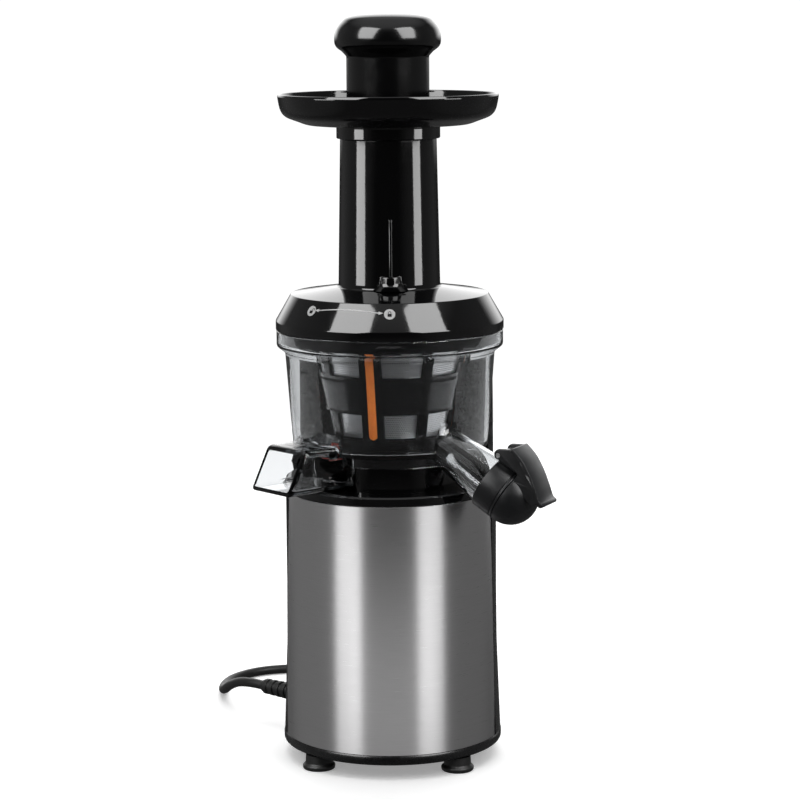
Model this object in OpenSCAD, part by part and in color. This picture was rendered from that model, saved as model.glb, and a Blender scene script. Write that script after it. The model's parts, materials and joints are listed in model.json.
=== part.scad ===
// Upright cold press juicer: a motor base with a clear juicing bowl, strainer, auger, rotating
// brush, feed lid, hopper tray and pusher. All sizes are in millimetres. The origin is on the
// table top under the main axis, +Z is up and -Y is the front.

/* [Feet and base plate] */
// Distance of each foot from the two centre planes
foot_spread = 45; // [40:0.5:48]
// Height of the rubber feet
foot_h = 9.5; // [7:0.5:14]
// Radius of a foot where it meets the table
foot_r = 10.7; // [9:0.1:12]
// Radius of the base plate's rim
base_r = 72; // [71.5:0.1:74]
// Height of the base plate's rim
base_rim_h = 6.5; // [5:0.5:9]

/* [Motor housing] */
// Height of the steel sleeve
sleeve_h = 161; // [155:1:175]
// Outer radius of the steel sleeve at its lower edge
sleeve_low_r = 71; // [70:0.1:71.4]
// Outer radius of the steel sleeve at its upper edge
sleeve_top_r = 68; // [67.6:0.1:68.6]
// Thickness of the steel sheet
sleeve_t = 0.8; // [0.5:0.1:1.2]
// Half of the angle that the steel covers, measured from the front
sleeve_half = 75; // [65:1:80]
// Wall of the inner housing
inner_t = 2.5; // [2:0.1:3.2]
// Wall of the back cover
back_t = 1.4; // [1.2:0.1:2]
// Height of the collar above the steel
collar_h = 6; // [4:0.5:8]
// Radius of the hub that carries the bowl
hub_r = 52; // [50:0.5:53]
// Height of the hub above the collar
hub_h = 23; // [21:0.5:25]
// Height of the spine's top above the collar
spine_h = 81; // [70:1:83]
// Half of the spine's angle at its foot, measured from the back
spine_half = 69; // [60:1:72]

/* [Motor and gears] */
// Outer radius of the stator
stator_r = 40; // [37:0.5:41]
// Height of the stator's stack
stator_h = 46; // [40:1:50]
// Radius of the rotor's stack
rotor_r = 22; // [18:0.5:24]
// Radius of the motor shaft
motor_shaft_r = 4; // [3.5:0.1:4.2]
// Module of the reduction gears
gear_m = 0.8; // [0.75:0.01:0.85]
// Teeth of both driving pinions
pinion_teeth = 15; // [14:1:16]
// Teeth of both driven wheels
wheel_teeth = 60; // [56:1:62]
// Radius of the drive shaft
drive_r = 6; // [5:0.1:6.4]
// Running clearance of shafts in their bearings
run_fit = 0.05; // [0.03:0.01:0.08]

/* [Bowl] */
// Height of the bowl from the underside of its floor to its rim
bowl_h = 76.2; // [75:0.1:80]
// Outer radius of the bowl's wall just above the floor
bowl_low_r = 63.9; // [63:0.1:64.5]
// Outer radius of the bowl's wall under its shoulder
bowl_top_r = 68; // [67:0.1:68.2]
// Outer radius of the bowl's rim
bowl_rim_r = 73.6; // [73:0.1:75]
// Thickness of the bowl's wall
bowl_t = 2.2; // [1.6:0.1:2.6]
// Thickness of the bowl's floor
floor_t = 2.5; // [2:0.1:3]
// Outer width of the pulp chute
chute_w = 40; // [34:1:42]
// Distance from the axis to the lower lip of the chute
chute_reach = 102; // [90:1:108]
// Inner radius of the hole that the pulp drops through
pulp_hole_r = 8.6; // [7:0.1:8.8]
// Outer radius of the juice spout where it leaves the wall
spout_root_r = 13; // [11:0.1:13.6]
// Outer radius of the juice spout under its sleeve
spout_end_r = 16.4; // [15:0.1:17]
// Outer radius of the spout's sleeve and cap
spout_cap_r = 18.3; // [17.5:0.1:19]
// Length of the spout's clear tube
spout_len = 46; // [42:0.5:48]

/* [Strainer, brush and auger] */
// Module of the small gears in the bowl's floor
bowl_gear_m = 1; // [0.98:0.01:1.02]
// Teeth on the auger's foot and on the idler
sun_teeth = 24; // [22:1:25]
// Outer radius of the strainer at its foot
basket_low_r = 38.5; // [38:0.1:39]
// Outer radius of the strainer at its top
basket_top_r = 50.5; // [48:0.1:51.5]
// Height of the strainer
basket_h = 67; // [64:0.5:68]
// Width of a brush bar
brush_bar_w = 14; // [10:0.5:16]
// Width of a silicone wiper
wiper_w = 5.4; // [4:0.1:7]
// Turns of the auger's flight
flight_turns = 2; // [1.5:0.25:2.5]
// Thickness of the auger's flight at its edge
flight_t = 3; // [2:0.1:4]

/* [Lid, tray and pusher] */
// Height of the lid's rim and shoulder up to the foot of the feed tube
lid_h = 27.5; // [26:0.5:30]
// Outer radius of the lid
lid_r = 74; // [73.5:0.1:76]
// Wall of the lid
lid_t = 2.5; // [2:0.1:3]
// Height of the feed tube above the lid
tube_h = 105; // [90:1:120]
// Outer radius of the feed tube at its foot
tube_low_r = 32.4; // [32:0.1:33.4]
// Outer radius of the feed tube at its top
tube_top_r = 31.1; // [30.9:0.1:31.7]
// Inner radius of the feed tube
tube_bore_r = 28.6; // [28:0.1:28.8]
// Outer radius of the hopper tray
tray_r = 71.1; // [60:0.5:80]
// Height of the hopper tray's bowl
tray_h = 21; // [18:0.5:26]
// Radius of the pusher's shaft
pusher_r = 26.6; // [25:0.1:27.4]
// Length of the pusher's shaft below its knob
pusher_len = 142.7; // [139:0.1:160]
// Largest radius of the pusher's knob
knob_r = 34.2; // [31:0.1:38]

/* [Switch and cord] */
// Width of the rocker switch's bezel
switch_w = 26; // [22:0.5:30]
// Height of the rocker switch's bezel
switch_h = 36; // [32:0.5:42]
// Diameter of the mains cord
cord_d = 6.5; // [6:0.1:7]

/* [Hidden] */
$fn = 96;

// Clearances
seat = 0.3;      // between faces that rest on each other across a joint
snug = 0.1;      // between pieces of one assembly
over = 1;        // how far a cut runs past the surface

// Levels of the base, from the table up
plate_z = foot_h;
shell_z = plate_z + base_rim_h;
collar_z = shell_z + sleeve_h;
deck_z = collar_z + collar_h;
hub_z = deck_z + hub_h;
plate_t = 3;
foot_floor = 3.4;   // rubber between a screw's head and the base plate
spine_z = deck_z + spine_h;

// Radii of the housing
shell_gap = 0.2;
inner_low_r = sleeve_low_r - sleeve_t - shell_gap;
inner_top_r = sleeve_top_r - sleeve_t - shell_gap;
collar_r = sleeve_top_r - 0.4;
cover_low_r = inner_low_r + shell_gap + back_t;
cover_r = inner_top_r + shell_gap + back_t + 0.3;
spine_in_low_r = collar_r + 0.4;
spine_in_top_r = bowl_top_r + 1.6;
spine_low_r = spine_in_low_r + 3.3;
spine_top_r = spine_in_top_r + 4;
spine_taper = 6;   // how much narrower the spine is at its top, in degrees a side
function inner_r(z) = inner_low_r + (inner_top_r - inner_low_r) * (z - shell_z) / sleeve_h;

// Levels of the gearbox and the motor, hung below the collar
gearbox_top = collar_z - 17;
gearbox_h = 44;
gearbox_z = gearbox_top - gearbox_h;
gearbox_split = gearbox_z + 22;
gearbox_t = 4;
gearbox_r = sleeve_top_r - 9;
gearbox_wall = 2.5;
post_ring = gearbox_r - 9;
post_side = 5;   // radius of the posts that take screws
nose_h = 3;      // rings that hold the bearings in line
stator_top = gearbox_z - 8;
stator_z = stator_top - stator_h;
bracket_h = 8;
bracket_z = stator_z - bracket_h;
fan_h = 11;
fan_z = bracket_z - 2 - fan_h;
shaft_low = fan_z - 2;
tie_ring = stator_r + 5;
axle_d = gear_m * (pinion_teeth + wheel_teeth) / 2;
axle_r = 3;
wheel_z = gearbox_z + 8.5;
wheel_h = 8;
second_z = wheel_z + wheel_h + 6.5;
second_h = 11;
rotor_end = second_z - 3;
bearing_h = 5;
small_bearing_r = 8;
drive_bearing_r = 11;
fan_r = 0.85 * stator_r;
fan_blades = 9;
blade_t = 1.6;

// Screws
screw_r = 2;
screw_head_r = 4;
screw_head_h = 2.4;

// Circuit board, on posts of the base plate and under the fan
board_post_at = 0.6 * stator_r;
board_post_h = base_rim_h + 1.5;
board_w = 1.6 * stator_r;
board_t = 1.6;
board_top = plate_z + plate_t + board_post_h + board_t;
part_h = min(10, fan_z - board_top - 1);

// Levels of the bowl
floor_z = hub_z + seat;
floor_top = floor_z + floor_t;
rim_z = floor_z + bowl_h;
shoulder_z = rim_z - 16.5;
gear_z = floor_top + seat;
gear_h = 3.4;
basket_z = gear_z + gear_h + 0.4;
basket_t = 2;
basket_end = basket_z + basket_h;
mesh_t = 0.7;
shoulder_rise = 6.5;
hub_clear = 0.4;
foot_ring_t = 2.6;
foot_ring_h = 7.3;
foot_ring_half = 30.5;
foot_ring_at = -82.5;
hub_space = hub_r + hub_clear;
seal_in_r = 7.3;   // hole in the bowl's floor that the silicone seal fills
rim_lug = 1.3;     // how far the lug for the lid stands out of the rim

// Pulp chute, along its own X axis
chute_at = -135;
chute_z = deck_z + 3;
chute_top = floor_z + 7.7;
chute_slant = 14.5;
chute_in = 12.8;
chute_t = 2;
pulp_at = 24;
duct_t = 1.6;
plug_at = 50;
plug_r = 3.9;
notch_in = 12;

// Juice spout: where its axis crosses the wall, its heading and its fall below level
spout_at = -47.8;
spout_heading = -21.9;
spout_drop = 32.5;
spout_root = [bowl_low_r * cos(spout_at) - 0.6, bowl_low_r * sin(spout_at) + 0.7, floor_z + 3.3];
spout_t = 1.8;
sleeve_from = 31;
seam_gap = 0.3;
cap_z = spout_len + 0.6 + seam_gap;
pin_l = 30;
pin_b = 21.2;
pin_r = 1.6;
lever_w = 24;

// Gears in the bowl's floor
idler_teeth = sun_teeth;
ring_teeth = sun_teeth + 2 * idler_teeth;
idler_d = bowl_gear_m * (sun_teeth + idler_teeth) / 2;
idler_at = chute_at + 180;
idler_pin_r = 3;
sun_tip = bowl_gear_m * (sun_teeth / 2 + 1);
ring_out_r = bowl_gear_m * ring_teeth / 2 + 6.7;
post_at = [chute_at + 120, chute_at + 240];
post_r = 4;
peg_r = 2;

// Strainer and brush
basket_slope = (basket_top_r - basket_low_r) / basket_h;
function basket_r(z) = basket_low_r + basket_slope * (z - basket_z);
ribs = 8;
rib_w = 7;
rib_at = -145.5;
low_window = [3.2, 19.5];
high_window = [43, 63.5];
flange = 0.6;
flange_h = 1.6;
brush_gap = 1.7;
brush_t = 2.6;
brush_bars = 3;
brush_at = -100.5;
brush_ring_h = 5;

// Auger
socket_r = 9;
socket_len = 16;
hex_r = drive_r - 0.2;
hex_from = gear_z + 3;
hex_to = gear_z + 19;
core_z = basket_z + basket_t + seat;
core_end = basket_end + 12;
flight_z = core_z + 2.5;
flight_end = basket_end + 6;
flight_gap = 1;
auger_pin_r = 4;

// Lid, tray and pusher
lid_z = rim_z + seat;
lid_rim_h = 4.3;
roof_z = lid_z + lid_h;
ledge_t = 3;
ledge_z = roof_z + 1.5;
ledge_top = ledge_z + ledge_t;
tube_end = roof_z + tube_h;
shoulder_tube = tube_end - 10;
tube_spigot_r = tube_top_r - 0.9;
boss_l = 16;
bush_r = 6.5;
bush_wall = 2;
throat_in = bush_r + bush_wall + 0.7;
throat_out = tube_bore_r - 1.6;
throat_half = 105;
fin_at = -84.5;
tray_z = shoulder_tube + seat;
tray_floor = tray_z + 7.5;
tray_t = 2;
tray_collar_r = tube_top_r + 2.3;
tray_bore_r = tube_spigot_r + 0.3;
tray_rim_z = tray_floor + tray_h;
pusher_z = ledge_top + seat;
knob_z = pusher_z + pusher_len;
knob_h = 27;
pusher_t = 2.5;

// Bush and seal of the drive shaft in the hub
bush_out_r = 8.5;
bush_end = hub_z - 9;
shaft_seal_r = 9;
shaft_seal_z = hub_z - 6;

// Switch on the back
switch_z = 62;
rocker_w = switch_w - 8;
rocker_h = switch_h - 8;
rocker_dish = 8.5;   // from the pivot to the middle of the hollow face
dish_r = 24;
rock_pin_r = 1.5;
function cover_at(z) = cover_low_r + (cover_r + 0.4 - cover_low_r) * (z - shell_z) / 60;
switch_y = cover_at(switch_z - switch_h / 2) + 1.7;
pivot_y = switch_y - 8;

// Cord: out of the strain relief, down to the table and round behind the base
cord_r = cord_d / 2;
lay_z = cord_r + 0.05;   // middle of the cord where it lies on the table
cord_route = [[-94, 68, 24], [-103.4, 74.8, 24], [-113, 84, 22], [-121, 97, 16.5], [-127, 112, 9.5],
    [-131, 129, 4.6], [-132, 145, 3.3], [-129, 160, 3.3], [-121, 174, 3.3], [-109, 185, 3.3],
    [-94, 191, 3.3], [-78, 193, 3.3], [-62, 193, 3.3], [-48, 193, 3.3]];
coil_c = [-35, 150];
coil_r = 43;
coil_turns = 4;
coil_step = cord_d + 0.7;
coil_rise = cord_d + 0.5;
coil_rings = 24;
coil_sides = 6;
tail_len = 38;
plug_axis_z = 8;
relief_at = atan2(cord_route[0].y, cord_route[0].x);
relief_end = norm([cord_route[0].x, cord_route[0].y]);
relief_z = cord_route[0].z;
relief_r = 5;

// ---------- shared shapes ----------

// Ring with a sloping wall: r0 at height z0, r1 at z1
module cone_wall(z0, z1, r0, r1, wall, from = 0, sweep = 360)
    rotate([0, 0, from])
        rotate_extrude(angle = sweep)
            polygon([[r0 - wall, z0], [r0, z0], [r1, z1], [r1 - wall, z1]]);

module tube_ring(z, h, r_out, r_in)
    translate([0, 0, z])
        difference() {
            cylinder(h = h, r = r_out);
            translate([0, 0, -over]) cylinder(h = h + 2 * over, r = r_in);
        }

module rod(z0, z1, r)
    translate([0, 0, z0]) cylinder(h = z1 - z0, r = r);

module at_polar(a, d)
    rotate([0, 0, a]) translate([d, 0, 0]) children();

// Places copies at the four corners of a square
module corners(d)
    for (x = [-d, d], y = [-d, d]) translate([x, y, 0]) children();

// One side of a gear tooth, from root to tip: [radius, half angle of the tooth there]
function flank_angle(r, rb) = r <= rb ? 0 : sqrt(r * r / (rb * rb) - 1) * 180 / PI - acos(rb / r);
function half_tooth(r, teeth, m, ease) =
    let (rp = m * teeth / 2, rb = rp * cos(25), shared = 90 / teeth - ease * 180 / PI / rp)
    shared + flank_angle(rp, rb) - flank_angle(max(r, rb), rb);
// Outline of an outside gear; ease thins each tooth so that a pair runs with backlash
function gear_points(teeth, m, ease = 0.08) =
    let (rp = m * teeth / 2, levels = [rp - 1.2 * m, rp - 0.45 * m, rp + 0.25 * m, rp + 0.9 * m])
    [for (i = [0 : teeth - 1], s = [-1, 1], k = [0 : 3])
        let (r = levels[s < 0 ? k : 3 - k], a = i * 360 / teeth + s * half_tooth(r, teeth, m, ease))
        [r * cos(a), r * sin(a)]];
// Outline of the gap inside an internal gear
function ring_points(teeth, m, ease = 0.08) =
    let (rp = m * teeth / 2, levels = [rp - 0.85 * m, rp - 0.2 * m, rp + 0.5 * m, rp + 1.2 * m])
    [for (i = [0 : teeth - 1], s = [-1, 1], k = [0 : 3])
        let (r = levels[s < 0 ? k : 3 - k], a = i * 360 / teeth + s * half_tooth(r, teeth, m, -ease))
        [r * cos(a), r * sin(a)]];

module gear(teeth, m, z, h, turn = 0)
    translate([0, 0, z]) rotate([0, 0, turn]) linear_extrude(h) polygon(gear_points(teeth, m));

// Tube swept along points; side and up are square to the way it runs
function unit(v) = v / norm(v);
function tangent(p, i) = unit(p[min(i + 1, len(p) - 1)] - p[max(i - 1, 0)]);
function ring_at(p, i, r, sides) =
    let (t = tangent(p, i), side = unit(cross(t, [0, 0, 1])), up = cross(side, t))
    [for (k = [0 : sides - 1]) p[i] + r * (cos((k + 0.5) * 360 / sides) * side
        + sin((k + 0.5) * 360 / sides) * up)];
module swept_tube(p, r, sides) {
    rings = len(p);
    points = [for (i = [0 : rings - 1]) each ring_at(p, i, r, sides)];
    walls = [for (i = [0 : rings - 2], k = [0 : sides - 1])
        let (a = i * sides + k, b = i * sides + (k + 1) % sides)
        each [[a, b, a + sides], [b, b + sides, a + sides]]];
    low_cap = [for (k = [1 : sides - 2]) [0, k + 1, k]];
    end = (rings - 1) * sides;
    high_cap = [for (k = [1 : sides - 2]) [end, end + k, end + k + 1]];
    polyhedron(points, concat(walls, low_cap, high_cap));
}

// Rounded block standing on its base, with upright edges of radius r
module soft_block(size, r)
    translate([-size.x / 2, -size.y / 2, 0])
        linear_extrude(size.z)
            translate([r, r])
                union() {
                    square([size.x - 2 * r, size.y - 2 * r]);
                    translate([-r, 0]) square([size.x, size.y - 2 * r]);
                    translate([0, -r]) square([size.x - 2 * r, size.y]);
                    for (x = [0, size.x - 2 * r], y = [0, size.y - 2 * r])
                        translate([x, y]) circle(r, $fn = 32);
                }

// ---------- base ----------

module base_plate() {
    edge = 2.5;
    post_hole = screw_r + snug;
    slot = [3, 28, plate_t + 2 * over];   // vent slots under the motor
    slot_step = 7;
    color("#1b1b1d")
        difference() {
            union() {
                rotate_extrude()
                    polygon(concat([[0, plate_z], [base_r - edge, plate_z]],
                        [for (a = [15 : 15 : 75]) [base_r - edge + edge * sin(a),
                            plate_z + edge * (1 - cos(a))]],
                        [[base_r, plate_z + edge], [base_r, shell_z - 1.2], [base_r - 0.7, shell_z],
                            [sleeve_low_r - 7, shell_z], [sleeve_low_r - 7, plate_z + plate_t],
                            [0, plate_z + plate_t]]));
                corners(foot_spread) rod(plate_z + plate_t / 2, shell_z - snug, post_side);
                corners(board_post_at) rod(plate_z + plate_t / 2, plate_z + plate_t + board_post_h, 3);
            }
            corners(foot_spread) rod(plate_z - over, shell_z + over, post_hole);
            for (x = [-5 : 5])
                translate([x * slot_step - slot.x / 2, -slot.y / 2, plate_z - over]) cube(slot);
        }
}

module rubber_feet() {
    neck = foot_r * 0.8;
    well_r = screw_head_r + 0.4;
    hole_r = screw_r + 0.2;
    color("#161617")
        corners(foot_spread)
            rotate_extrude()
                polygon([[well_r, 0], [foot_r - 1, 0], [foot_r, 1], [foot_r, 2.4], [neck + 0.6, 4],
                    [neck, 5.2],
                    [neck, foot_h], [hole_r, foot_h], [hole_r, foot_h - foot_floor],
                    [well_r, foot_h - foot_floor]]);
}

module base_screws()
    color("#8e9093")
        corners(foot_spread) {
            rod(foot_h - foot_floor - screw_head_h, foot_h - foot_floor, screw_head_r);
            rod(foot_h - foot_floor - 0.5, shell_z - 1, screw_r);
        }

module steel_sleeve()
    color("#b9babc")
        cone_wall(shell_z, collar_z, sleeve_low_r, sleeve_top_r, sleeve_t, -90 - sleeve_half,
            2 * sleeve_half);

module switch_hole()
    translate([-switch_w / 2 + 2, switch_y - 16, switch_z - switch_h / 2 + 2])
        cube([switch_w - 4, 30, switch_h - 4]);

module relief_hole()
    translate([0, 0, relief_z]) rotate([0, 0, relief_at]) rotate([0, 90, 0])
        translate([0, 0, sleeve_low_r - 14]) cylinder(h = 30, r = relief_r + snug);

module inner_shell()
    color("#2a2a2c")
        difference() {
            cone_wall(shell_z, collar_z, inner_low_r, inner_top_r, inner_t);
            switch_hole();
            relief_hole();
        }

module spine_cut(side) {
    lean = atan((spine_taper * PI / 180 * spine_top_r) / (spine_z - deck_z));
    rotate([0, 0, 90 + side * spine_half])
        translate([0, 0, deck_z])
            rotate([side * lean, 0, 0])
                translate([30, side > 0 ? 0 : -60, -20]) cube([80, 60, 140]);
}

module back_cover() {
    cover_from = -90 + sleeve_half + 0.3;
    wall_low = cover_low_r - inner_low_r - shell_gap;
    wall_top = cover_r - inner_top_r - shell_gap;
    edge_r = 2;
    color("#1d1d1f")
        difference() {
            union() {
                rotate([0, 0, cover_from])
                    rotate_extrude(angle = 360 - 2 * (sleeve_half + 0.3))
                        polygon([[cover_low_r - wall_low, shell_z], [cover_low_r, shell_z],
                            [cover_r + 0.4, shell_z + 60], [cover_r, shell_z + 100], [cover_r, collar_z],
                            [cover_r - wall_top, collar_z]]);
                difference() {
                    rotate([0, 0, 90 - spine_half - 2])
                        rotate_extrude(angle = 2 * spine_half + 4)
                            polygon([[spine_in_low_r, collar_z - 2], [cover_r - 0.5, collar_z - 2],
                                [cover_r + 0.2, collar_z + 1],
                                [spine_low_r, deck_z + 5], [spine_top_r, spine_z - edge_r],
                                [spine_top_r - 0.6, spine_z - 0.6],
                                [spine_top_r - edge_r, spine_z], [spine_in_top_r, spine_z],
                                [spine_in_low_r, deck_z + 12]]);
                    spine_cut(1);
                    spine_cut(-1);
                }
            }
            switch_hole();
            relief_hole();
        }
}

module top_housing() {
    wall = 3;
    notch_w = chute_w + 1;
    boss_r = 11.5;
    color("#1a1a1c")
        difference() {
            union() {
                rotate_extrude()
                    polygon([[0, collar_z], [collar_r - 0.3, collar_z], [collar_r, collar_z + 0.6],
                        [collar_r, deck_z - 1],
                        [collar_r - 1, deck_z], [hub_r, deck_z], [hub_r, hub_z - 1.5],
                        [hub_r - 1.5, hub_z], [0, hub_z]]);
                for (a = [45 : 90 : 315]) at_polar(a, post_ring) rod(gearbox_top, collar_z + 0.5, post_side);
                rod(gearbox_top + 8, collar_z + 0.5, boss_r);
            }
            difference() {
                rod(collar_z - over, hub_z - wall, hub_r - wall);
                rod(collar_z - over, hub_z, boss_r);
                rotate([0, 0, chute_at])
                    translate([notch_in - wall, -notch_w / 2 - wall, deck_z - wall])
                        cube([hub_r, notch_w + 2 * wall, hub_h]);
                for (a = [45 : 90 : 315]) at_polar(a, post_ring) rod(collar_z - 2, deck_z, post_side);
            }
            rotate([0, 0, chute_at])
                translate([notch_in, -notch_w / 2, deck_z]) cube([hub_r, notch_w, hub_h + over]);
            rod(gearbox_top, hub_z + over, drive_r + 1);
            rod(collar_z - 4, bush_end, bush_out_r + snug);
            rod(shaft_seal_z, hub_z + over, shaft_seal_r + snug);
            for (a = [45 : 90 : 315])
                at_polar(a, post_ring) rod(gearbox_top - over, gearbox_top + 13, screw_r + snug);
        }
}

// ---------- gearbox and motor ----------

module gearbox_lower() {
    color("#d9d6cc")
        difference() {
            union() {
                rod(gearbox_z, gearbox_z + gearbox_t, gearbox_r);
                tube_ring(gearbox_z, gearbox_split - gearbox_z, gearbox_r, gearbox_r - gearbox_wall);
                tube_ring(stator_top, gearbox_z - stator_top + 1, stator_r, stator_r - 5);
                rod(gearbox_z - nose_h, gearbox_z + gearbox_t, small_bearing_r + 3);
            }
            rod(gearbox_z - over - nose_h, gearbox_z + gearbox_t + over, motor_shaft_r + 1);
            rod(gearbox_z - over - nose_h, gearbox_z - nose_h + bearing_h, small_bearing_r + snug);
            translate([0, axle_d, 0]) rod(gearbox_z + 1, gearbox_z + gearbox_t + over, axle_r + snug / 2);
            for (a = [0 : 90 : 270])
                at_polar(a, tie_ring) rod(gearbox_z - over, gearbox_z + gearbox_t + over, screw_r + snug);
        }
}

module gearbox_upper()
    color("#d9d6cc")
        difference() {
            union() {
                rod(gearbox_top - gearbox_t, gearbox_top, gearbox_r);
                tube_ring(gearbox_split, gearbox_top - gearbox_split, gearbox_r, gearbox_r - gearbox_wall);
                rod(gearbox_top - gearbox_t, gearbox_top + nose_h, drive_bearing_r + 3);
            }
            rod(gearbox_top - gearbox_t - over, gearbox_top + nose_h + over, drive_r + 1);
            rod(gearbox_top + nose_h - bearing_h, gearbox_top + nose_h + over, drive_bearing_r + snug);
            translate([0, axle_d, 0]) rod(gearbox_top - gearbox_t - over, gearbox_top - 1, axle_r + snug / 2);
            for (a = [45 : 90 : 315])
                at_polar(a, post_ring)
                    rod(gearbox_top - gearbox_t - over, gearbox_top + over, screw_r + snug);
        }

module gearbox_screws()
    color("#8e9093")
        for (a = [45 : 90 : 315])
            at_polar(a, post_ring) {
                rod(gearbox_top - gearbox_t - screw_head_h, gearbox_top - gearbox_t, screw_head_r);
                rod(gearbox_top - gearbox_t - 1, gearbox_top + 12, screw_r);
            }

module motor_stator() {
    slots = 12;
    coil_in = rotor_r + 3;
    coil_out = stator_r - 7;
    color("#8b5a33")
        union() {
            difference() {
                rod(stator_z, stator_top, stator_r);
                rod(stator_z - over, stator_top + over, rotor_r + 0.6);
                for (i = [0 : slots - 1])
                    rotate([0, 0, (i + 0.5) * 360 / slots])
                        translate([rotor_r, -0.8, stator_z - over]) cube([4, 1.6, stator_h + 2 * over]);
            }
            for (z = [stator_z - 5, stator_top - 0.5])
                tube_ring(z, 5.5, coil_out, coil_in);
        }
}

module motor_bracket()
    color("#a7a9ac")
        difference() {
            union() {
                tube_ring(bracket_z, bracket_h, stator_r, stator_r - 5);
                rod(bracket_z - 0.5, bracket_z + bearing_h + 1, 12);
                for (a = [0 : 90 : 270]) {
                    rotate([0, 0, a]) translate([8, -4, bracket_z]) cube([stator_r - 10, 8, 2.4]);
                    at_polar(a, tie_ring) rod(bracket_z, bracket_z + bracket_h, post_side + 0.5);
                }
            }
            rod(bracket_z - over, bracket_z + bearing_h + over, motor_shaft_r + 1);
            rod(bracket_z + 1, bracket_z + bearing_h + 2, small_bearing_r + snug);
            for (a = [0 : 90 : 270])
                at_polar(a, tie_ring) rod(bracket_z - over, bracket_z + bracket_h + over, screw_r + snug);
        }

module motor_screws()
    color("#8e9093")
        for (a = [0 : 90 : 270])
            at_polar(a, tie_ring) {
                rod(bracket_z - screw_head_h - 0.2, bracket_z, screw_head_r);
                rod(bracket_z - 1, gearbox_z + gearbox_t - 0.5, screw_r);
            }

module bearing(z, r_out, r_shaft)
    tube_ring(z, bearing_h, r_out, r_shaft + run_fit);

module ball_bearings()
    color("#9fa3a8") {
        bearing(bracket_z + 1, small_bearing_r, motor_shaft_r);
        bearing(gearbox_z - nose_h, small_bearing_r, motor_shaft_r);
        bearing(gearbox_top + nose_h - bearing_h, drive_bearing_r, drive_r);
    }

module drive_bush()
    color("#b08d57")
        tube_ring(collar_z - 3, bush_end - collar_z + 3, bush_out_r, drive_r + run_fit);

module shaft_seal()
    color("#3b3b3d")
        tube_ring(shaft_seal_z, hub_z - shaft_seal_z - 0.2, shaft_seal_r, drive_r + run_fit);

module gear_axle()
    color("#c3c5c8")
        translate([0, axle_d, 0]) rod(gearbox_z + 1.2, gearbox_top - 1.2, axle_r);

module circuit_board() {
    foot = board_top - 0.2;   // the parts stand a little in the board
    relay = [18, 14, 0.9 * part_h];
    choke = [16, 12, 0.7 * part_h];
    color("#2f6b3c")
        union() {
            translate([-board_w / 2, -board_w / 2, board_top - board_t]) cube([board_w, board_w, board_t]);
            translate([-board_w * 0.4, -board_w / 8, foot]) cube(relay);
            for (x = [-4, 10]) translate([x, 14, 0]) rod(foot, foot + part_h, 5);
            translate([4, -22, foot]) cube(choke);
        }
}

module rotor()
    color("#77797d")
        union() {
            rod(shaft_low, rotor_end, motor_shaft_r);
            rod(stator_z + 1, stator_top - 1, rotor_r);
            rod(stator_z - 1.5, stator_z + 2, 10);
            gear(pinion_teeth, gear_m, wheel_z - 1, wheel_h + 2, 90);
        }

module cooling_fan() {
    hub = motor_shaft_r + 5;
    color("#2f3033")
        difference() {
            union() {
                rod(fan_z, fan_z + fan_h, hub);
                rod(fan_z + fan_h - blade_t, fan_z + fan_h, fan_r);
                for (i = [0 : fan_blades - 1])
                    rotate([0, 0, i * 360 / fan_blades])
                        translate([hub - 2, -blade_t / 2, fan_z + 0.3])
                            cube([fan_r - hub + 1.5, blade_t, fan_h - 0.8]);
            }
            rod(fan_z - over, fan_z + fan_h + over, motor_shaft_r + run_fit);
        }
}

module reduction_gear()
    color("#e9e4d4")
        translate([0, axle_d, 0])
            difference() {
                union() {
                    gear(wheel_teeth, gear_m, wheel_z, wheel_h, -90 + 180 / wheel_teeth);
                    gear(pinion_teeth, gear_m, wheel_z + wheel_h,
                        second_z + second_h + 2 - wheel_z - wheel_h, -90);
                }
                rod(wheel_z - over, second_z + second_h + 2 + over, axle_r + run_fit);
            }

module output_gear()
    color("#e9e4d4")
        difference() {
            gear(wheel_teeth, gear_m, second_z, second_h, 90 + 180 / wheel_teeth);
            rod(second_z - over, second_z + second_h + over, drive_r + run_fit);
        }

module drive_shaft()
    color("#c3c5c8")
        union() {
            rod(second_z - 1, hex_from, drive_r);
            translate([0, 0, hex_from - 1]) cylinder(h = hex_to - hex_from, r = hex_r, $fn = 6);
            translate([0, 0, hex_to - 1]) cylinder(h = 1, r1 = hex_r * 0.86, r2 = hex_r * 0.7);
        }

// ---------- switch and cord ----------

module switch_bezel()
    color("#101011")
        difference() {
            union() {
                translate([0, switch_y - 1.6, switch_z]) rotate([-90, 0, 0])
                    soft_block([switch_w, switch_h, 2.4], 3);
                translate([0, switch_y - 14, switch_z]) rotate([-90, 0, 0])
                    soft_block([switch_w - 4.4, switch_h - 4.4, 13.4], 1);
            }
            translate([-rocker_w / 2 - 0.3, pivot_y - 5, switch_z - rocker_h / 2 - 0.8])
                cube([rocker_w + 0.6, 20, rocker_h + 1.6]);
            translate([0, pivot_y, switch_z]) rotate([0, 90, 0])
                cylinder(h = rocker_w + 2.2, r = rock_pin_r + run_fit, center = true);
        }

module rocker_switch()
    color("#222225")
        union() {
            intersection() {
                translate([-rocker_w / 2, pivot_y - 2.4, switch_z - rocker_h / 2 + 0.6])
                    cube([rocker_w, 14, rocker_h - 1.2]);
                difference() {
                    translate([0, pivot_y, switch_z]) rotate([0, 90, 0])
                        cylinder(h = rocker_w, r = rocker_h / 2 - 0.4, center = true);
                    translate([0, pivot_y + rocker_dish + dish_r, switch_z]) rotate([0, 90, 0])
                        cylinder(h = rocker_w + 2, r = dish_r, center = true);
                }
            }
            translate([0, pivot_y, switch_z]) rotate([0, 90, 0])
                cylinder(h = rocker_w + 1.8, r = rock_pin_r, center = true);
        }

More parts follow.
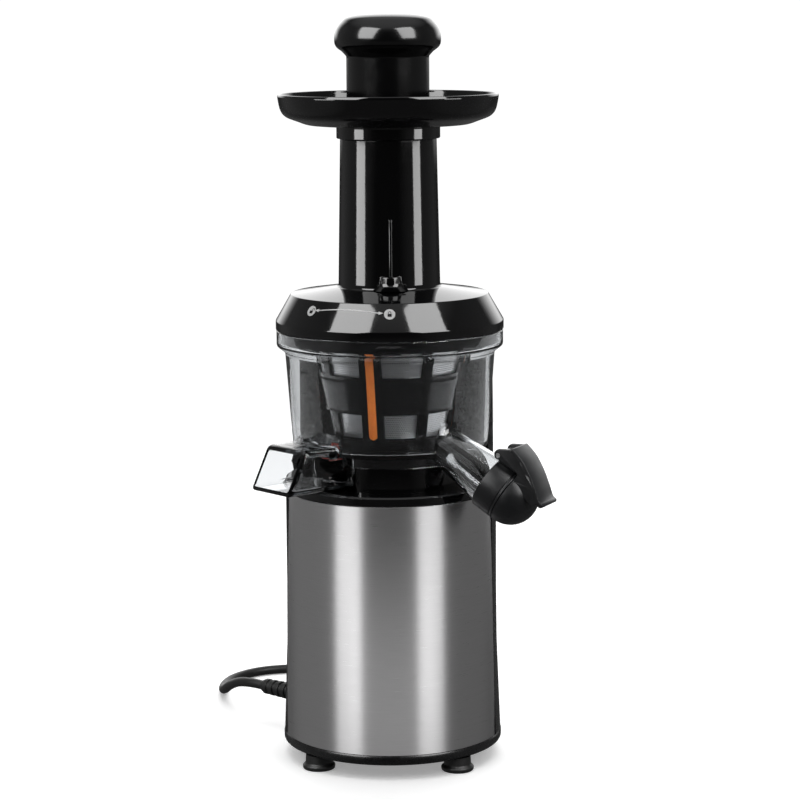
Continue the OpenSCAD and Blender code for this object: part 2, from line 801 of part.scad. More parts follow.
module strain_relief() {
    shell_at = cover_low_r - 1;
    ribs_n = 7;
    run = relief_end - shell_at - 6;
    color("#141415")
        translate([0, 0, relief_z])
            rotate([0, 0, relief_at])
                rotate([0, 90, 0])
                    difference() {
                        union() {
                            translate([0, 0, shell_at - 8]) cylinder(h = 12, r = relief_r);
                            translate([0, 0, shell_at - 10]) cylinder(h = 3, r = relief_r + 1.6);
                            translate([0, 0, shell_at + 1.6])
                                cylinder(h = relief_end - shell_at - 1.6, r1 = relief_r, r2 = cord_r + 0.95);
                            translate([0, 0, shell_at + 1.6]) cylinder(h = 4, r1 = 7, r2 = 6.4);
                            for (i = [0 : ribs_n - 1])
                                translate([0, 0, shell_at + 6 + i * run / ribs_n])
                                    cylinder(h = run / ribs_n * 0.6, r = 6.2 - 0.14 * i);
                        }
                        translate([0, 0, shell_at - 11]) cylinder(h = 8, r = cord_r);
                    }
}

module power_cord()
    color("#131314") swept_tube(cord_route, cord_r, 10);

// The coil runs clockwise from the far side: two turns in on the table, then two turns out on top
function coil_point(t) =
    let (a = 90 - 360 * t,
        r = coil_r - coil_step * (coil_turns / 2 - abs(t - coil_turns / 2)),
        climb = min(1, max(0, (t - coil_turns / 2 + 0.25) / 0.5)))
    [coil_c.x + r * cos(a), coil_c.y + r * sin(a), lay_z + coil_rise * climb];
coil_path = concat(
    [[cord_route[len(cord_route) - 1].x, coil_c.y + coil_r, lay_z],
        [coil_c.x - cord_d, coil_c.y + coil_r, lay_z]],
    [for (i = [0 : coil_turns * coil_rings]) coil_point(i / coil_rings)],
    [[coil_c.x + 9, coil_c.y + coil_r, lay_z + coil_rise],
        [coil_c.x + 20, coil_c.y + coil_r, lay_z + coil_rise],
        [coil_c.x + tail_len - cord_d, coil_c.y + coil_r, plug_axis_z],
        [coil_c.x + tail_len, coil_c.y + coil_r, plug_axis_z]]);
coil_gap = min([for (i = [0 : len(coil_path) - 1]) for (j = [i + 8 : 1 : len(coil_path) - 1])
    norm(coil_path[i] - coil_path[j])]) - cord_d;
echo(coil_least_gap = coil_gap);

module cord_coil()
    color("#131314") swept_tube(coil_path, cord_r, coil_sides);

module mains_plug() {
    body_l = 26;
    body_w = 30;
    body_t = 2 * plug_axis_z;
    pin_gap = 19;
    color("#151516")
        translate([coil_c.x + tail_len, coil_c.y + coil_r, 0])
            union() {
                translate([0, 0, plug_axis_z]) rotate([0, 90, 0]) cylinder(h = 12, r1 = 4, r2 = 6);
                translate([10 + body_l / 2, 0, 0]) soft_block([body_l, body_w, body_t], 5);
                for (y = [-pin_gap / 2, pin_gap / 2])
                    translate([9 + body_l, y, plug_axis_z]) rotate([0, 90, 0]) {
                        cylinder(h = 19, r = 1.9);
                        translate([0, 0, 18.9]) cylinder(h = 1.2, r1 = 1.9, r2 = 0.9);
                    }
            }
}

// ---------- bowl ----------

bowl_outer = [[0, floor_z], [bowl_low_r - 1.2, floor_z], [bowl_low_r - 0.3, floor_z + 0.8],
    [bowl_low_r, floor_z + 2.5],
    [bowl_low_r + 1.5, floor_z + 18.7], [bowl_top_r, shoulder_z], [bowl_top_r + 1.2, shoulder_z + 3],
    [bowl_rim_r - 1.6, shoulder_z + 5.2], [bowl_rim_r - 0.4, shoulder_z + shoulder_rise],
    [bowl_rim_r, shoulder_z + shoulder_rise + 1.4], [bowl_rim_r, rim_z - 0.5],
    [bowl_rim_r - 0.5, rim_z], [0, rim_z]];
bowl_inner = [[0, floor_top], [bowl_low_r - bowl_t - 1.5, floor_top], [bowl_low_r - bowl_t, floor_top + 1.5],
    [bowl_low_r + 1.5 - bowl_t, floor_z + 18.7], [bowl_top_r - bowl_t, shoulder_z + 0.6],
    [bowl_top_r + 1 - bowl_t, shoulder_z + 3.8], [bowl_rim_r - 1.8 - bowl_t, shoulder_z + 6.4],
    [bowl_rim_r - bowl_t, shoulder_z + shoulder_rise + 2.6], [bowl_rim_r - bowl_t, rim_z + over],
    [0, rim_z + over]];

// Frame of the spout: Z runs down its axis, X points up out of its top
module in_spout()
    translate(spout_root) rotate([0, 0, spout_heading]) rotate([0, 90 + spout_drop, 0]) rotate([0, 0, 180])
        children();

module spout_cone(grow, from, to) {
    slope = (spout_end_r - spout_root_r) / (sleeve_from - 1);
    in_spout()
        rotate_extrude()
            polygon([[0, from], [spout_root_r + slope * from + grow, from],
                [spout_end_r + grow, sleeve_from - 1],
                [spout_end_r + grow, to], [0, to]]);
}

module chute_prism(inset, lift, out) {
    rotate([0, 0, chute_at])
        translate([0, chute_w / 2 - inset, 0])
            rotate([90, 0, 0])
                linear_extrude(chute_w - 2 * inset)
                    polygon([[chute_in + inset, chute_z + inset], [chute_reach + out, chute_z + inset],
                        [chute_reach - chute_slant + out, chute_top - inset], [lift, chute_top - inset],
                        [lift, floor_z], [chute_in + inset, floor_z]]);
}

// Solid shape of the bowl without its hollow, with the rings under it and the lug for the lid
module bowl_body() {
    foot_ring_r = hub_space + 0.3 + foot_ring_t;
    rotate_extrude() polygon(bowl_outer);
    for (a = [0, 120, 240])
        cone_wall(floor_z - foot_ring_h, floor_z + 0.5, foot_ring_r, foot_ring_r, foot_ring_t,
            foot_ring_at + a - foot_ring_half, 2 * foot_ring_half);
    rotate([0, 0, -93]) rotate_extrude(angle = 14)
        polygon([[bowl_rim_r - 1, rim_z - 6.6], [bowl_rim_r + rim_lug, rim_z - 6],
            [bowl_rim_r + rim_lug, rim_z - 3.4], [bowl_rim_r - 1, rim_z - 2.6]]);
}

// Way of the juice out through the wall, kept out of the floor and the hub
module spout_way()
    difference() {
        spout_cone(-spout_t, -30, spout_len + over);
        rod(deck_z - 30, floor_top, hub_space + 2);
    }

module juice_bowl()
    color("#dfe6ea", 0.35)
        difference() {
            union() {
                difference() {
                    bowl_body();
                    rotate_extrude() polygon(bowl_inner);
                    spout_way();
                }
                // Seat of the shaft seal, idler pin, two posts and the pulp duct
                rod(floor_z + 1, floor_top + 3.6, seal_in_r + 1.4);
                at_polar(idler_at, idler_d) rod(floor_z + 1, basket_z, idler_pin_r);
                for (a = post_at)
                    at_polar(a, pulp_at) {
                        rod(floor_z + 1, basket_z, post_r);
                        rod(basket_z - 1, basket_z + basket_t, peg_r);
                    }
                at_polar(chute_at, pulp_at) rod(floor_z + 1, basket_z, pulp_hole_r + duct_t);
            }
            rod(floor_z - over, floor_top + 5, seal_in_r);
            at_polar(chute_at, pulp_at) rod(floor_z - over, basket_z + over, pulp_hole_r);
            at_polar(chute_at, plug_at) rod(floor_z - over, floor_top + over, plug_r + snug);
        }

module juice_spout()
    color("#dfe6ea", 0.35)
        difference() {
            spout_cone(0, -14, spout_len);
            bowl_body();
            rod(deck_z - 30, floor_z, hub_space);
            spout_way();
        }

module pulp_chute()
    color("#dfe6ea", 0.35)
        difference() {
            chute_prism(0, bowl_low_r - 8, 0);
            chute_prism(chute_t, bowl_low_r + 2.4, 8);
            bowl_body();
        }

module bowl_seal()
    color("#b8392e")
        tube_ring(floor_z + 0.2, floor_t + 3.2, seal_in_r - snug, drive_r + run_fit);

module pulp_plug()
    color("#b8392e")
        at_polar(chute_at, plug_at) {
            rod(floor_z - 2.2, floor_z, 6);
            rod(floor_z - 0.1, floor_top + 0.1, plug_r);
            rod(floor_top, floor_top + 1.2, 5.2);
        }

module spout_sleeve()
    color("#232325")
        in_spout()
            difference() {
                union() {
                    rod(sleeve_from, spout_len + 0.6, spout_cap_r);
                    for (y = [-7.5, 4.5])
                        translate([0, y, 0]) rotate([-90, 0, 0]) linear_extrude(3)
                            polygon([[spout_end_r, -sleeve_from], [spout_end_r, -sleeve_from - 9],
                                [pin_b - 1, -pin_l - 4],
                                [pin_b + 1.6, -pin_l - 2.6], [pin_b + 2.4, -pin_l],
                                [pin_b + 1.2, -pin_l + 2.2],
                                [pin_b - 1.6, -pin_l + 2.6]]);
                }
                rod(sleeve_from - 20, spout_len + 2, spout_end_r + snug);
                translate([pin_b, 0, pin_l]) rotate([90, 0, 0])
                    cylinder(h = 40, r = pin_r + run_fit, center = true);
            }

module hinge_pin()
    color("#c3c5c8")
        in_spout()
            translate([pin_b, 0, pin_l]) rotate([90, 0, 0])
                cylinder(h = lever_w - 1, r = pin_r, center = true);

// Side view of the lever over the cap: [height above the spout's axis, place along it]
lever_side = [[28.6, -12], [25.6, -3], [20.6, 6.6], [15.6, 14.6], [11.6, 21.6], [12.4, 26.6], [14.6, 27.4],
    [15.4, 25.6], [14.4, 22.6], [18.4, 16.4], [23.6, 7.6], [28.6, -2], [31.2, -11]];

module spout_cap() {
    wall = 1.8;
    cheek = 3;
    color("#2c2d2f")
        in_spout()
            difference() {
                union() {
                    difference() {
                        union() {
                            rod(cap_z, cap_z + 1.2, spout_cap_r);
                            intersection() {
                                translate([0, 0, cap_z + 1]) sphere(r = spout_cap_r);
                                rod(cap_z + 1, cap_z + 40, spout_cap_r + 1);
                            }
                        }
                        intersection() {
                            translate([0, 0, cap_z + 1]) sphere(r = spout_cap_r - wall);
                            rod(cap_z - over, cap_z + 40, spout_cap_r);
                        }
                        rod(cap_z - over, cap_z + 1.1, spout_cap_r - wall);
                    }
                    translate([0, -lever_w / 2, cap_z]) rotate([-90, 0, 0])
                        linear_extrude(lever_w) polygon([for (p = lever_side) [p[0], -p[1]]]);
                    for (y = [-lever_w / 2, lever_w / 2 - cheek])
                        translate([0, y, 0]) rotate([-90, 0, 0])
                            linear_extrude(cheek)
                                polygon([[pin_b - 2.6, -pin_l + 0.6], [pin_b, -pin_l + 3],
                                    [pin_b + 2.6, -pin_l + 2.6],
                                    [30, -cap_z + 12.4], [25, -cap_z + 1], [20, -cap_z - 6.5],
                                    [14.5, -cap_z - 10.5],
                                    [13.6, -cap_z - 0.4], [19.2, -cap_z - 0.4], [19.2, -pin_l - 3]]);
                }
                translate([pin_b, 0, pin_l]) rotate([90, 0, 0])
                    cylinder(h = 60, r = pin_r + run_fit, center = true);
            }
}

module cap_seal()
    color("#9b9da0")
        in_spout() rod(cap_z - 0.1, cap_z + 1.9, spout_cap_r - 1.8 - snug - 0.6);

// ---------- strainer and brush ----------

module basket_cone(z0, z1, grow, wall)
    cone_wall(z0, z1, basket_r(z0) + grow, basket_r(z1) + grow, wall);

// Gap between two neighbouring ribs, from z0 to z1
module windows(z0, z1)
    for (i = [0 : ribs - 1])
        let (half = 180 / ribs - asin(rib_w / 2 / basket_r(z0)))
            rotate([0, 0, rib_at + (i + 0.5) * 360 / ribs - half])
                rotate_extrude(angle = 2 * half)
                    polygon([[basket_low_r - 12, z0], [basket_top_r + 8, z0], [basket_top_r + 8, z1],
                        [basket_low_r - 12, z1]]);

module strainer_frame()
    color("#202022")
        difference() {
            union() {
                difference() {
                    basket_cone(basket_z, basket_end, 0, basket_t);
                    windows(basket_z + low_window[0], basket_z + low_window[1]);
                    windows(basket_z + high_window[0], basket_z + high_window[1]);
                }
                rod(basket_z, basket_z + basket_t, basket_low_r - 0.5);
                for (z = [basket_z + low_window[1] - flange_h / 2, basket_z + high_window[0] - 4])
                    tube_ring(z, flange_h, basket_r(z) + flange, basket_r(z) - 1);
            }
            rod(basket_z - over, basket_z + basket_t + over, sun_tip + 0.6);
            at_polar(chute_at, pulp_at) rod(basket_z - over, basket_z + basket_t + over, pulp_hole_r);
            for (a = post_at)
                at_polar(a, pulp_at) rod(basket_z - over, basket_z + basket_t + over, peg_r + snug);
        }

module strainer_mesh()
    color("#b4b6b8")
        basket_cone(basket_z + basket_t + 0.1, basket_end - 2, -basket_t - snug, mesh_t);

module brush_idler()
    color("#e9e4d4")
        at_polar(idler_at, idler_d)
            difference() {
                gear(idler_teeth, bowl_gear_m, gear_z, gear_h - 0.1, 180 + 180 / idler_teeth);
                rod(gear_z - over, gear_z + gear_h + over, idler_pin_r + run_fit);
            }

module brush_frame() {
    ring_turn = idler_at + (idler_teeth % 2 == 0 ? 180 / ring_teeth : 0);
    top = basket_end - 2.5;
    bar_low = gear_z + gear_h;
    color("#1f1f21")
        difference() {
            union() {
                difference() {
                    union() {
                        rod(gear_z, gear_z + gear_h + 3, ring_out_r);
                        for (i = [0 : brush_bars - 1])
                            rotate([0, 0, brush_at + i * 360 / brush_bars])
                                intersection() {
                                    cone_wall(bar_low, top - 1, basket_r(bar_low) + brush_gap + brush_t,
                                        basket_r(top - 1) + brush_gap + brush_t, brush_t + 2);
                                    translate([20, -brush_bar_w / 2, bar_low]) cube([60, brush_bar_w, 100]);
                                }
                        cone_wall(top - brush_ring_h, top,
                            basket_r(top - brush_ring_h) + brush_gap + brush_t + 0.3,
                            basket_r(top) + brush_gap + brush_t + 0.3, brush_t + 2);
                    }
                    rotate_extrude()
                        polygon([[0, gear_z + gear_h + 0.2], [basket_low_r + 1.2, gear_z + gear_h + 0.2],
                            [basket_r(top) + brush_gap, top + over * 2], [0, top + over * 2]]);
                    translate([0, 0, gear_z - over]) rotate([0, 0, ring_turn])
                        linear_extrude(gear_h + 2) polygon(ring_points(ring_teeth, bowl_gear_m));
                }
            }
            for (i = [0 : brush_bars - 1])
                rotate([0, 0, brush_at + i * 360 / brush_bars]) wiper_cut(snug / 2);
        }
}

// Slot or strip through a brush bar, leaning with the strainer
module wiper_cut(grow) {
    low = basket_z + 3;
    high = basket_end - 6;
    w = wiper_w + 2 * grow;
    intersection() {
        cone_wall(low - grow, high + grow, basket_r(low) + brush_gap + brush_t + 0.7,
            basket_r(high) + brush_gap + brush_t + 0.7,
            brush_t + 1.5);
        translate([20, -w / 2, low - grow])
            cube([60, w, high - low + 2 * grow]);
    }
}

module wiper_strips()
    color("#e07a34")
        for (i = [0 : brush_bars - 1])
            rotate([0, 0, brush_at + i * 360 / brush_bars]) wiper_cut(-snug / 2);

// ---------- auger ----------

// Core radius at height z, thick at the foot and slim at the top
function core_r(z) =
    let (s = min(1, max(0, (z - core_z) / (core_end - core_z))))
    30 * (1 - s) * (1 - s) + 2 * 13 * s * (1 - s) + 8.5 * s * s;
function flight_r(z) = basket_r(min(z, basket_end - 3)) - basket_t - snug - mesh_t - flight_gap;
flight_steps = 30;
function flight_section(i, steps) =
    let (s = i / steps, z = flight_z + (flight_end - flight_z) * s, a = -360 * flight_turns * s,
        out = flight_r(z), in = core_r(z) - 2, h = flight_t / 2)
    [for (p = [[in, -h - 0.8], [out, -h], [out, h], [in, h + 0.8]]) [p[0] * cos(a), p[0] * sin(a), z + p[1]]];

module flight() {
    steps = flight_steps * flight_turns;
    points = [for (i = [0 : steps]) each flight_section(i, steps)];
    walls = [for (i = [0 : steps - 1], k = [0 : 3])
        let (a = 4 * i + k, b = 4 * i + (k + 1) % 4)
        each [[a, a + 4, b], [b, a + 4, b + 4]]];
    end = 4 * steps;
    polyhedron(points, concat(walls, [[0, 1, 2], [0, 2, 3], [end, end + 2, end + 1],
        [end, end + 3, end + 2]]));
}

module auger() {
    steps = 12;
    neck = sun_tip - 1.2;
    color("#1c1c1e")
        difference() {
            union() {
                rotate_extrude()
                    polygon(concat([[0, gear_z + 0.5], [bowl_gear_m * sun_teeth / 2 - 1.5, gear_z + 0.5],
                        [bowl_gear_m * sun_teeth / 2 - 1.5, gear_z + gear_h], [neck, gear_z + gear_h],
                        [neck, core_z]],
                        [for (i = [0 : steps])
                            let (z = core_z + (core_end - core_z) * i / steps) [core_r(z), z]],
                        [[0, core_end]]));
                gear(sun_teeth, bowl_gear_m, gear_z, gear_h, idler_at);
                flight();
            }
            rod(gear_z - over, gear_z + 4 + socket_len + 0.6, socket_r + snug);
            rod(core_end - 12, core_end + over, auger_pin_r + snug / 2);
        }
}

module auger_socket()
    color("#a9abae")
        difference() {
            rod(gear_z + 4, gear_z + 4 + socket_len, socket_r);
            translate([0, 0, gear_z]) cylinder(h = 40, r = hex_r + 0.15, $fn = 6);
        }

module auger_pin()
    color("#c3c5c8")
        rod(core_end - 11.8, ledge_top - 4.5, auger_pin_r);

// ---------- lid, tray and pusher ----------

function ring_sector(r0, r1, a0, a1, n) = concat(
    [for (i = [0 : n]) r1 * [cos(a0 + (a1 - a0) * i / n), sin(a0 + (a1 - a0) * i / n)]],
    [for (i = [n : -1 : 0]) r0 * [cos(a0 + (a1 - a0) * i / n), sin(a0 + (a1 - a0) * i / n)]]);

// Fin and flared foot on the front of the feed tube
module tube_fin()
    rotate([0, 0, fin_at]) {
        translate([tube_low_r - 3, -1, roof_z - 1]) cube([4.2, 2, 46]);
        translate([tube_low_r - 6, 0, roof_z - 1]) cylinder(h = 9, r1 = 11.5, r2 = 8.5);
    }

module lid() {
    cone_z = lid_z + 23;
    cone_r = lid_r - 10;
    skirt_r = bowl_rim_r - bowl_t - 0.6;
    ring_r = basket_top_r + 1;
    color("#121214")
        difference() {
            union() {
                rotate_extrude()
                    polygon([[0, lid_z], [lid_r - 0.4, lid_z], [lid_r, lid_z + 0.5],
                        [lid_r, lid_z + lid_rim_h],
                        [lid_r - 0.4, lid_z + lid_rim_h + 1], [lid_r - 1.4, lid_z + lid_rim_h + 2.2],
                        [cone_r + 0.6, cone_z - 1],
                        [cone_r, cone_z - 0.3], [cone_r - 1, cone_z], [tube_low_r + 2, roof_z], [0, roof_z]]);
                tube_ring(lid_z - 8, 9, skirt_r, skirt_r - 2);
            }
            difference() {
                rotate_extrude()
                    polygon([[0, lid_z - 9], [lid_r - 4, lid_z - 9], [lid_r - 4, lid_z + lid_rim_h],
                        [cone_r - 1, cone_z - lid_t - 1], [throat_out, roof_z - lid_t], [0, roof_z - lid_t]]);
                rotate_extrude()
                    polygon([[skirt_r, lid_z - 8], [skirt_r, lid_z + 8], [skirt_r - 2, lid_z + 8],
                        [skirt_r - 2, lid_z - 8]]);
                tube_ring(basket_end + 0.5, 30, ring_r, ring_r - 2);
            }
            rod(lid_z - 9, roof_z + over, throat_out);
            tube_fin();
        }
}

module feed_tube()
    color("#121214")
        difference() {
            union() {
                rotate_extrude()
                    polygon([[0, roof_z], [tube_low_r + 2, roof_z], [tube_low_r + 0.5, roof_z + 0.6],
                        [tube_low_r, roof_z + 2], [tube_top_r, shoulder_tube], [tube_spigot_r, shoulder_tube],
                        [tube_spigot_r, tube_end], [0, tube_end]]);
                rod(ledge_top - boss_l, ledge_z, bush_r + bush_wall);
                tube_fin();
            }
            difference() {
                rod(roof_z - 2, ledge_z, throat_out);
                rod(ledge_top - boss_l - over, ledge_z + over, bush_r + bush_wall);
            }
            rod(ledge_top, tube_end + over, tube_bore_r);
            rod(ledge_top - boss_l - over, ledge_top - 4, bush_r + snug);
            translate([0, 0, ledge_z - over])
                linear_extrude(ledge_t + 2 * over)
                    polygon(ring_sector(throat_in, throat_out - 0.6, -90 - throat_half, -90 + throat_half,
                        24));
        }

module lid_bush()
    color("#b08d57")
        tube_ring(ledge_top - boss_l, boss_l - 4.2, bush_r, auger_pin_r + run_fit);

module hopper_tray()
    color("#131315")
        rotate_extrude()
            difference() {
                polygon([[tray_bore_r, tray_z], [tray_collar_r, tray_z], [tray_collar_r, tray_floor - 2.4],
                    [tray_r - 20, tray_floor - 2.2], [tray_r - 13.5, tray_floor + 0.4],
                    [tray_r - 6.2, tray_floor + 2.5],
                    [tray_r - 2.6, tray_floor + 5], [tray_r - 1.2, tray_floor + 7.5],
                    [tray_r - 0.2, tray_floor + 11.5],
                    [tray_r, tray_rim_z - 1], [tray_r - 0.7, tray_rim_z], [tray_r - tray_t, tray_rim_z],
                    [tray_bore_r, tray_rim_z]]);
                polygon([[0, tray_floor], [tray_r - 20, tray_floor], [tray_r - 14, tray_floor + 2.4],
                    [tray_r - 8, tray_floor + 4.4], [tray_r - 4.8, tray_floor + 7],
                    [tray_r - 2.4, tray_floor + 12],
                    [tray_r - tray_t, tray_rim_z - 1], [tray_r - tray_t + 0.4, tray_rim_z + over],
                    [0, tray_rim_z + over]]);
            }

// Half profile of the knob: [radius as a share of its rise over the shaft, height above the shaft]
knob_side = [[0, 0], [0.12, 0.6], [0.41, 3], [0.79, 5.5], [0.96, 8], [1, 10], [1, 13], [0.87, 16], [0.75, 18],
    [0.45, 21], [0.12, 23.5], [-0.57, 26]];

module pusher() {
    rise = knob_r - pusher_r;
    color("#121214")
        rotate_extrude()
            polygon(concat([[pusher_r - pusher_t, pusher_z], [pusher_r, pusher_z]],
                [for (p = knob_side) [pusher_r + rise * p[0], knob_z + p[1]]],
                [[0, knob_z + knob_h], [0, knob_z + knob_h - 6],
                    [pusher_r - pusher_t - 5, knob_z + knob_h - 8],
                    [pusher_r - pusher_t, knob_z + 6]]));
}

base_plate();
rubber_feet();
base_screws();
steel_sleeve();
inner_shell();
back_cover();
top_housing();
gearbox_lower();
gearbox_upper();
gearbox_screws();
motor_stator();
motor_bracket();
motor_screws();
ball_bearings();
drive_bush();
shaft_seal();
gear_axle();
circuit_board();
switch_bezel();
rocker_switch();
strain_relief();
power_cord();
cord_coil();
mains_plug();
rotor();
cooling_fan();
reduction_gear();
output_gear();
drive_shaft();
juice_bowl();
juice_spout();
pulp_chute();
bowl_seal();
pulp_plug();
spout_sleeve();
hinge_pin();
spout_cap();
cap_seal();
strainer_frame();
strainer_mesh();
brush_idler();
brush_frame();
wiper_strips();
auger();
auger_socket();
auger_pin();
lid();
feed_tube();
lid_bush();
hopper_tray();
pusher();
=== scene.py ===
import bmesh
import bpy
import json
from math import atan, atan2, ceil, cos, degrees, hypot, pi, radians, sin, sqrt, tan, tau
from mathutils import Matrix, Vector


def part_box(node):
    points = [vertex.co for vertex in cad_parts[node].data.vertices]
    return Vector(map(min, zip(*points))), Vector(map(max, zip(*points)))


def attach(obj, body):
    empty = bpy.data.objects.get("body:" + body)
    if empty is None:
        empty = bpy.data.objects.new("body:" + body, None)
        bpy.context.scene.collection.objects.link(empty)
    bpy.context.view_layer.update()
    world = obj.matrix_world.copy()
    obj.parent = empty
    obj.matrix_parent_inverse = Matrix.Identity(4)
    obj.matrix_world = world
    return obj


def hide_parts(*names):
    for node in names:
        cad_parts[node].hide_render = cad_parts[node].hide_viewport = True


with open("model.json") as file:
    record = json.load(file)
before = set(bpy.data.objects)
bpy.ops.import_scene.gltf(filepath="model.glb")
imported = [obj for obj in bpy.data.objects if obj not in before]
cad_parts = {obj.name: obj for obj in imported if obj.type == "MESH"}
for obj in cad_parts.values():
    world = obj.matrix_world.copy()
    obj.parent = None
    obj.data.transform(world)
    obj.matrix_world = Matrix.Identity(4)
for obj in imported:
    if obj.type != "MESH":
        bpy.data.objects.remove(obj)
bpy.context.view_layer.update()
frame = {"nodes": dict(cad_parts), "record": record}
nodes = frame["nodes"]
scene = bpy.context.scene
mm = 0.001


def atAngle(radius, angle, z=0):
    turn = radians(angle)
    return Vector((radius * cos(turn), radius * sin(turn), z))


def rotation(angle, axis):
    return Matrix.Rotation(radians(angle), 4, axis)


def shift(x, y, z):
    return Matrix.Translation(Vector((x, y, z)) * mm)


def added(name, data):
    item = bpy.data.objects.new(name, data)
    scene.collection.objects.link(item)
    return item


class Sizes(dict):
    # sizes of a piece, read as attributes
    __getattr__ = dict.__getitem__


# the camera stands in front, a little above the middle, and looks slightly down
cameraSet = Sizes(distance=1.65, height=0.49, around=4, down=8.78, aside=0.22, roll=0.4, lens=115.1)


def makeCamera():
    data = bpy.data.cameras.new("camera")
    data.lens = cameraSet.lens
    data.sensor_width = 36
    data.clip_start = 0.05
    cam = added("camera", data)
    around = radians(cameraSet.around)
    place = Vector((sin(around), -cos(around), 0)) * cameraSet.distance
    place.z = cameraSet.height
    turn = Matrix.Rotation(around - radians(cameraSet.aside), 4, "Z")
    tilt = rotation(90 - cameraSet.down, "X")
    roll = rotation(-cameraSet.roll, "Z")
    cam.matrix_world = Matrix.Translation(place) @ turn @ tilt @ roll
    scene.camera = cam


# angles are seen from the object: round from the camera's side, and up from level. Mirror lights are seen in
# glossy surfaces alone, fill lights give the soft light, and a light with a target lights that piece alone
lightDefaults = Sizes(away=1.4, mirror=True, aim=0.25, target=None)
softboxes = {
    "frontLeft": Sizes(around=-48, up=35, wide=0.86, high=1.15, glow=9.5),
    "frontRight": Sizes(around=46, up=35, wide=0.78, high=1.15, glow=9.0),
    "tubeLeft": Sizes(around=-68, up=0, wide=0.58, high=0.34, glow=9.0, aim=0.32, target="feed_tube"),
    "tubeRight": Sizes(around=69, up=0, wide=0.50, high=0.34, glow=8.0, aim=0.32, target="feed_tube"),
    "steelLeft": Sizes(around=-47, up=0, wide=0.72, high=1.60, glow=1.3, aim=0.0, target="steel_sleeve"),
    "steelRight": Sizes(around=42, up=0, wide=0.70, high=1.60, glow=1.15, aim=0.0, target="steel_sleeve"),
    "steelLow": Sizes(around=0, up=-24, wide=2.60, high=0.90, glow=0.42, aim=0.1, target="steel_sleeve"),
    "above": Sizes(around=160, up=80, wide=2.60, high=2.60, glow=2.3, away=2.5, mirror=False),
    "left": Sizes(around=-50, up=30, wide=0.90, high=0.90, glow=1.5, away=1.5, mirror=False),
    "right": Sizes(around=50, up=30, wide=0.90, high=0.90, glow=1.5, away=1.5, mirror=False),
}
# how bright each side of the room is, and where along its axis that begins and is reached
roomSides = {
    "backdrop": Sizes(axis="Y", start=0.6, end=0.9, glow=2.6, over=(-0.06, 0.1)),
    "ceiling": Sizes(axis="Z", start=0.5, end=0.98, glow=0.9),
    "table": Sizes(axis="Z", start=-0.04, end=-0.28, glow=0.12),
    "left": Sizes(axis="X", start=-0.4, end=-0.9, glow=0.26),
    "right": Sizes(axis="X", start=0.4, end=0.9, glow=0.2),
}
studio = Sizes(room=0.04, floor=0.94, floorGlow=0.3, white=1.32)


def makeLights():
    for name, row in softboxes.items():
        box = Sizes(lightDefaults | row)
        data = bpy.data.lights.new(name, "AREA")
        data.shape = "RECTANGLE"
        data.size = box.wide
        data.size_y = box.high
        data.energy = box.glow * pi * box.wide * box.high
        light = added(name, data)
        around = radians(box.around + cameraSet.around)
        up = radians(box.up)
        out = Vector((sin(around) * cos(up), -cos(around) * cos(up), sin(up)))
        light.location = Vector((0, 0, box.aim)) + out * box.away
        light.rotation_euler = out.to_track_quat("Z", "Y").to_euler()
        light.visible_camera = False
        light.visible_diffuse = not box.mirror
        light.visible_glossy = box.mirror


def linkLights(pieces):
    # pieces are listed by the CAD node that they stand for
    for name, box in softboxes.items():
        if "target" in box:
            lit = bpy.data.collections.new("litBy_" + name)
            for piece in pieces[box.target]:
                lit.objects.link(piece)
            bpy.data.objects[name].light_linking.receiver_collection = lit
    # the steel has its own tall lights instead of the front ones, and the clear bowl has only the right one
    for name, nodesOff in (("frontLeft", ("steel_sleeve", "juice_bowl")), ("frontRight", ("steel_sleeve",))):
        unlit = bpy.data.collections.new("passedBy_" + name)
        for node in nodesOff:
            for piece in pieces[node]:
                unlit.objects.link(piece)
        for item in unlit.collection_objects:
            item.light_linking.link_state = "EXCLUDE"
        bpy.data.objects[name].light_linking.receiver_collection = unlit


def makeWorld():
    world = bpy.data.worlds.new("studio")
    scene.world = world
    world.use_nodes = True
    world.node_tree.nodes.clear()
    coords = addNode(world, "ShaderNodeTexCoord")
    split = addNode(world, "ShaderNodeSeparateXYZ", {0: coords.outputs["Generated"]})

    def shade(axis, start, end, glow):
        return addNode(world, "ShaderNodeMapRange", {"Value": split.outputs[axis]},
                       interpolation_type="SMOOTHSTEP", From_Min=start, From_Max=end, To_Min=studio.room,
                       To_Max=glow)

    def maths(operation, *values):
        return addNode(world, "ShaderNodeMath", dict(enumerate(values)), operation=operation).outputs[0]

    glow = None
    for side in roomSides.values():
        part = shade(side.axis, side.start, side.end, side.glow)
        if "over" in side:
            world.node_tree.links.new(shade("Z", *side.over, side.glow).outputs[0], part.inputs["To Max"])
        glow = maths("MAXIMUM", glow, part.outputs[0]) if glow else part.outputs[0]
    # what is seen straight or through clear plastic is plain white; the rest of the room is for reflections
    path = addNode(world, "ShaderNodeLightPath").outputs
    clear = maths("MULTIPLY", path["Is Transmission Ray"], maths("LESS_THAN", path["Glossy Depth"]))
    through = maths("MAXIMUM", path["Is Camera Ray"], clear)
    choice = addNode(world, "ShaderNodeMix", {"Factor": through, "A": glow}, B=studio.white)
    sky = addNode(world, "ShaderNodeBackground", {"Strength": choice.outputs["Result"]})
    addNode(world, "ShaderNodeOutputWorld", {"Surface": sky.outputs[0]})
    scene.view_settings.view_transform = "Standard"


def newMaterial(name, **values):
    # a Principled shader with plain numbers on its own sockets
    material = bpy.data.materials.new(name)
    material.use_nodes = True
    shader = material.node_tree.nodes["Principled BSDF"]
    for key, value in values.items():
        socket = shader.inputs[key.replace("_", " ")]
        socket.default_value = (*value, 1) if socket.type == "RGBA" else value
    return material


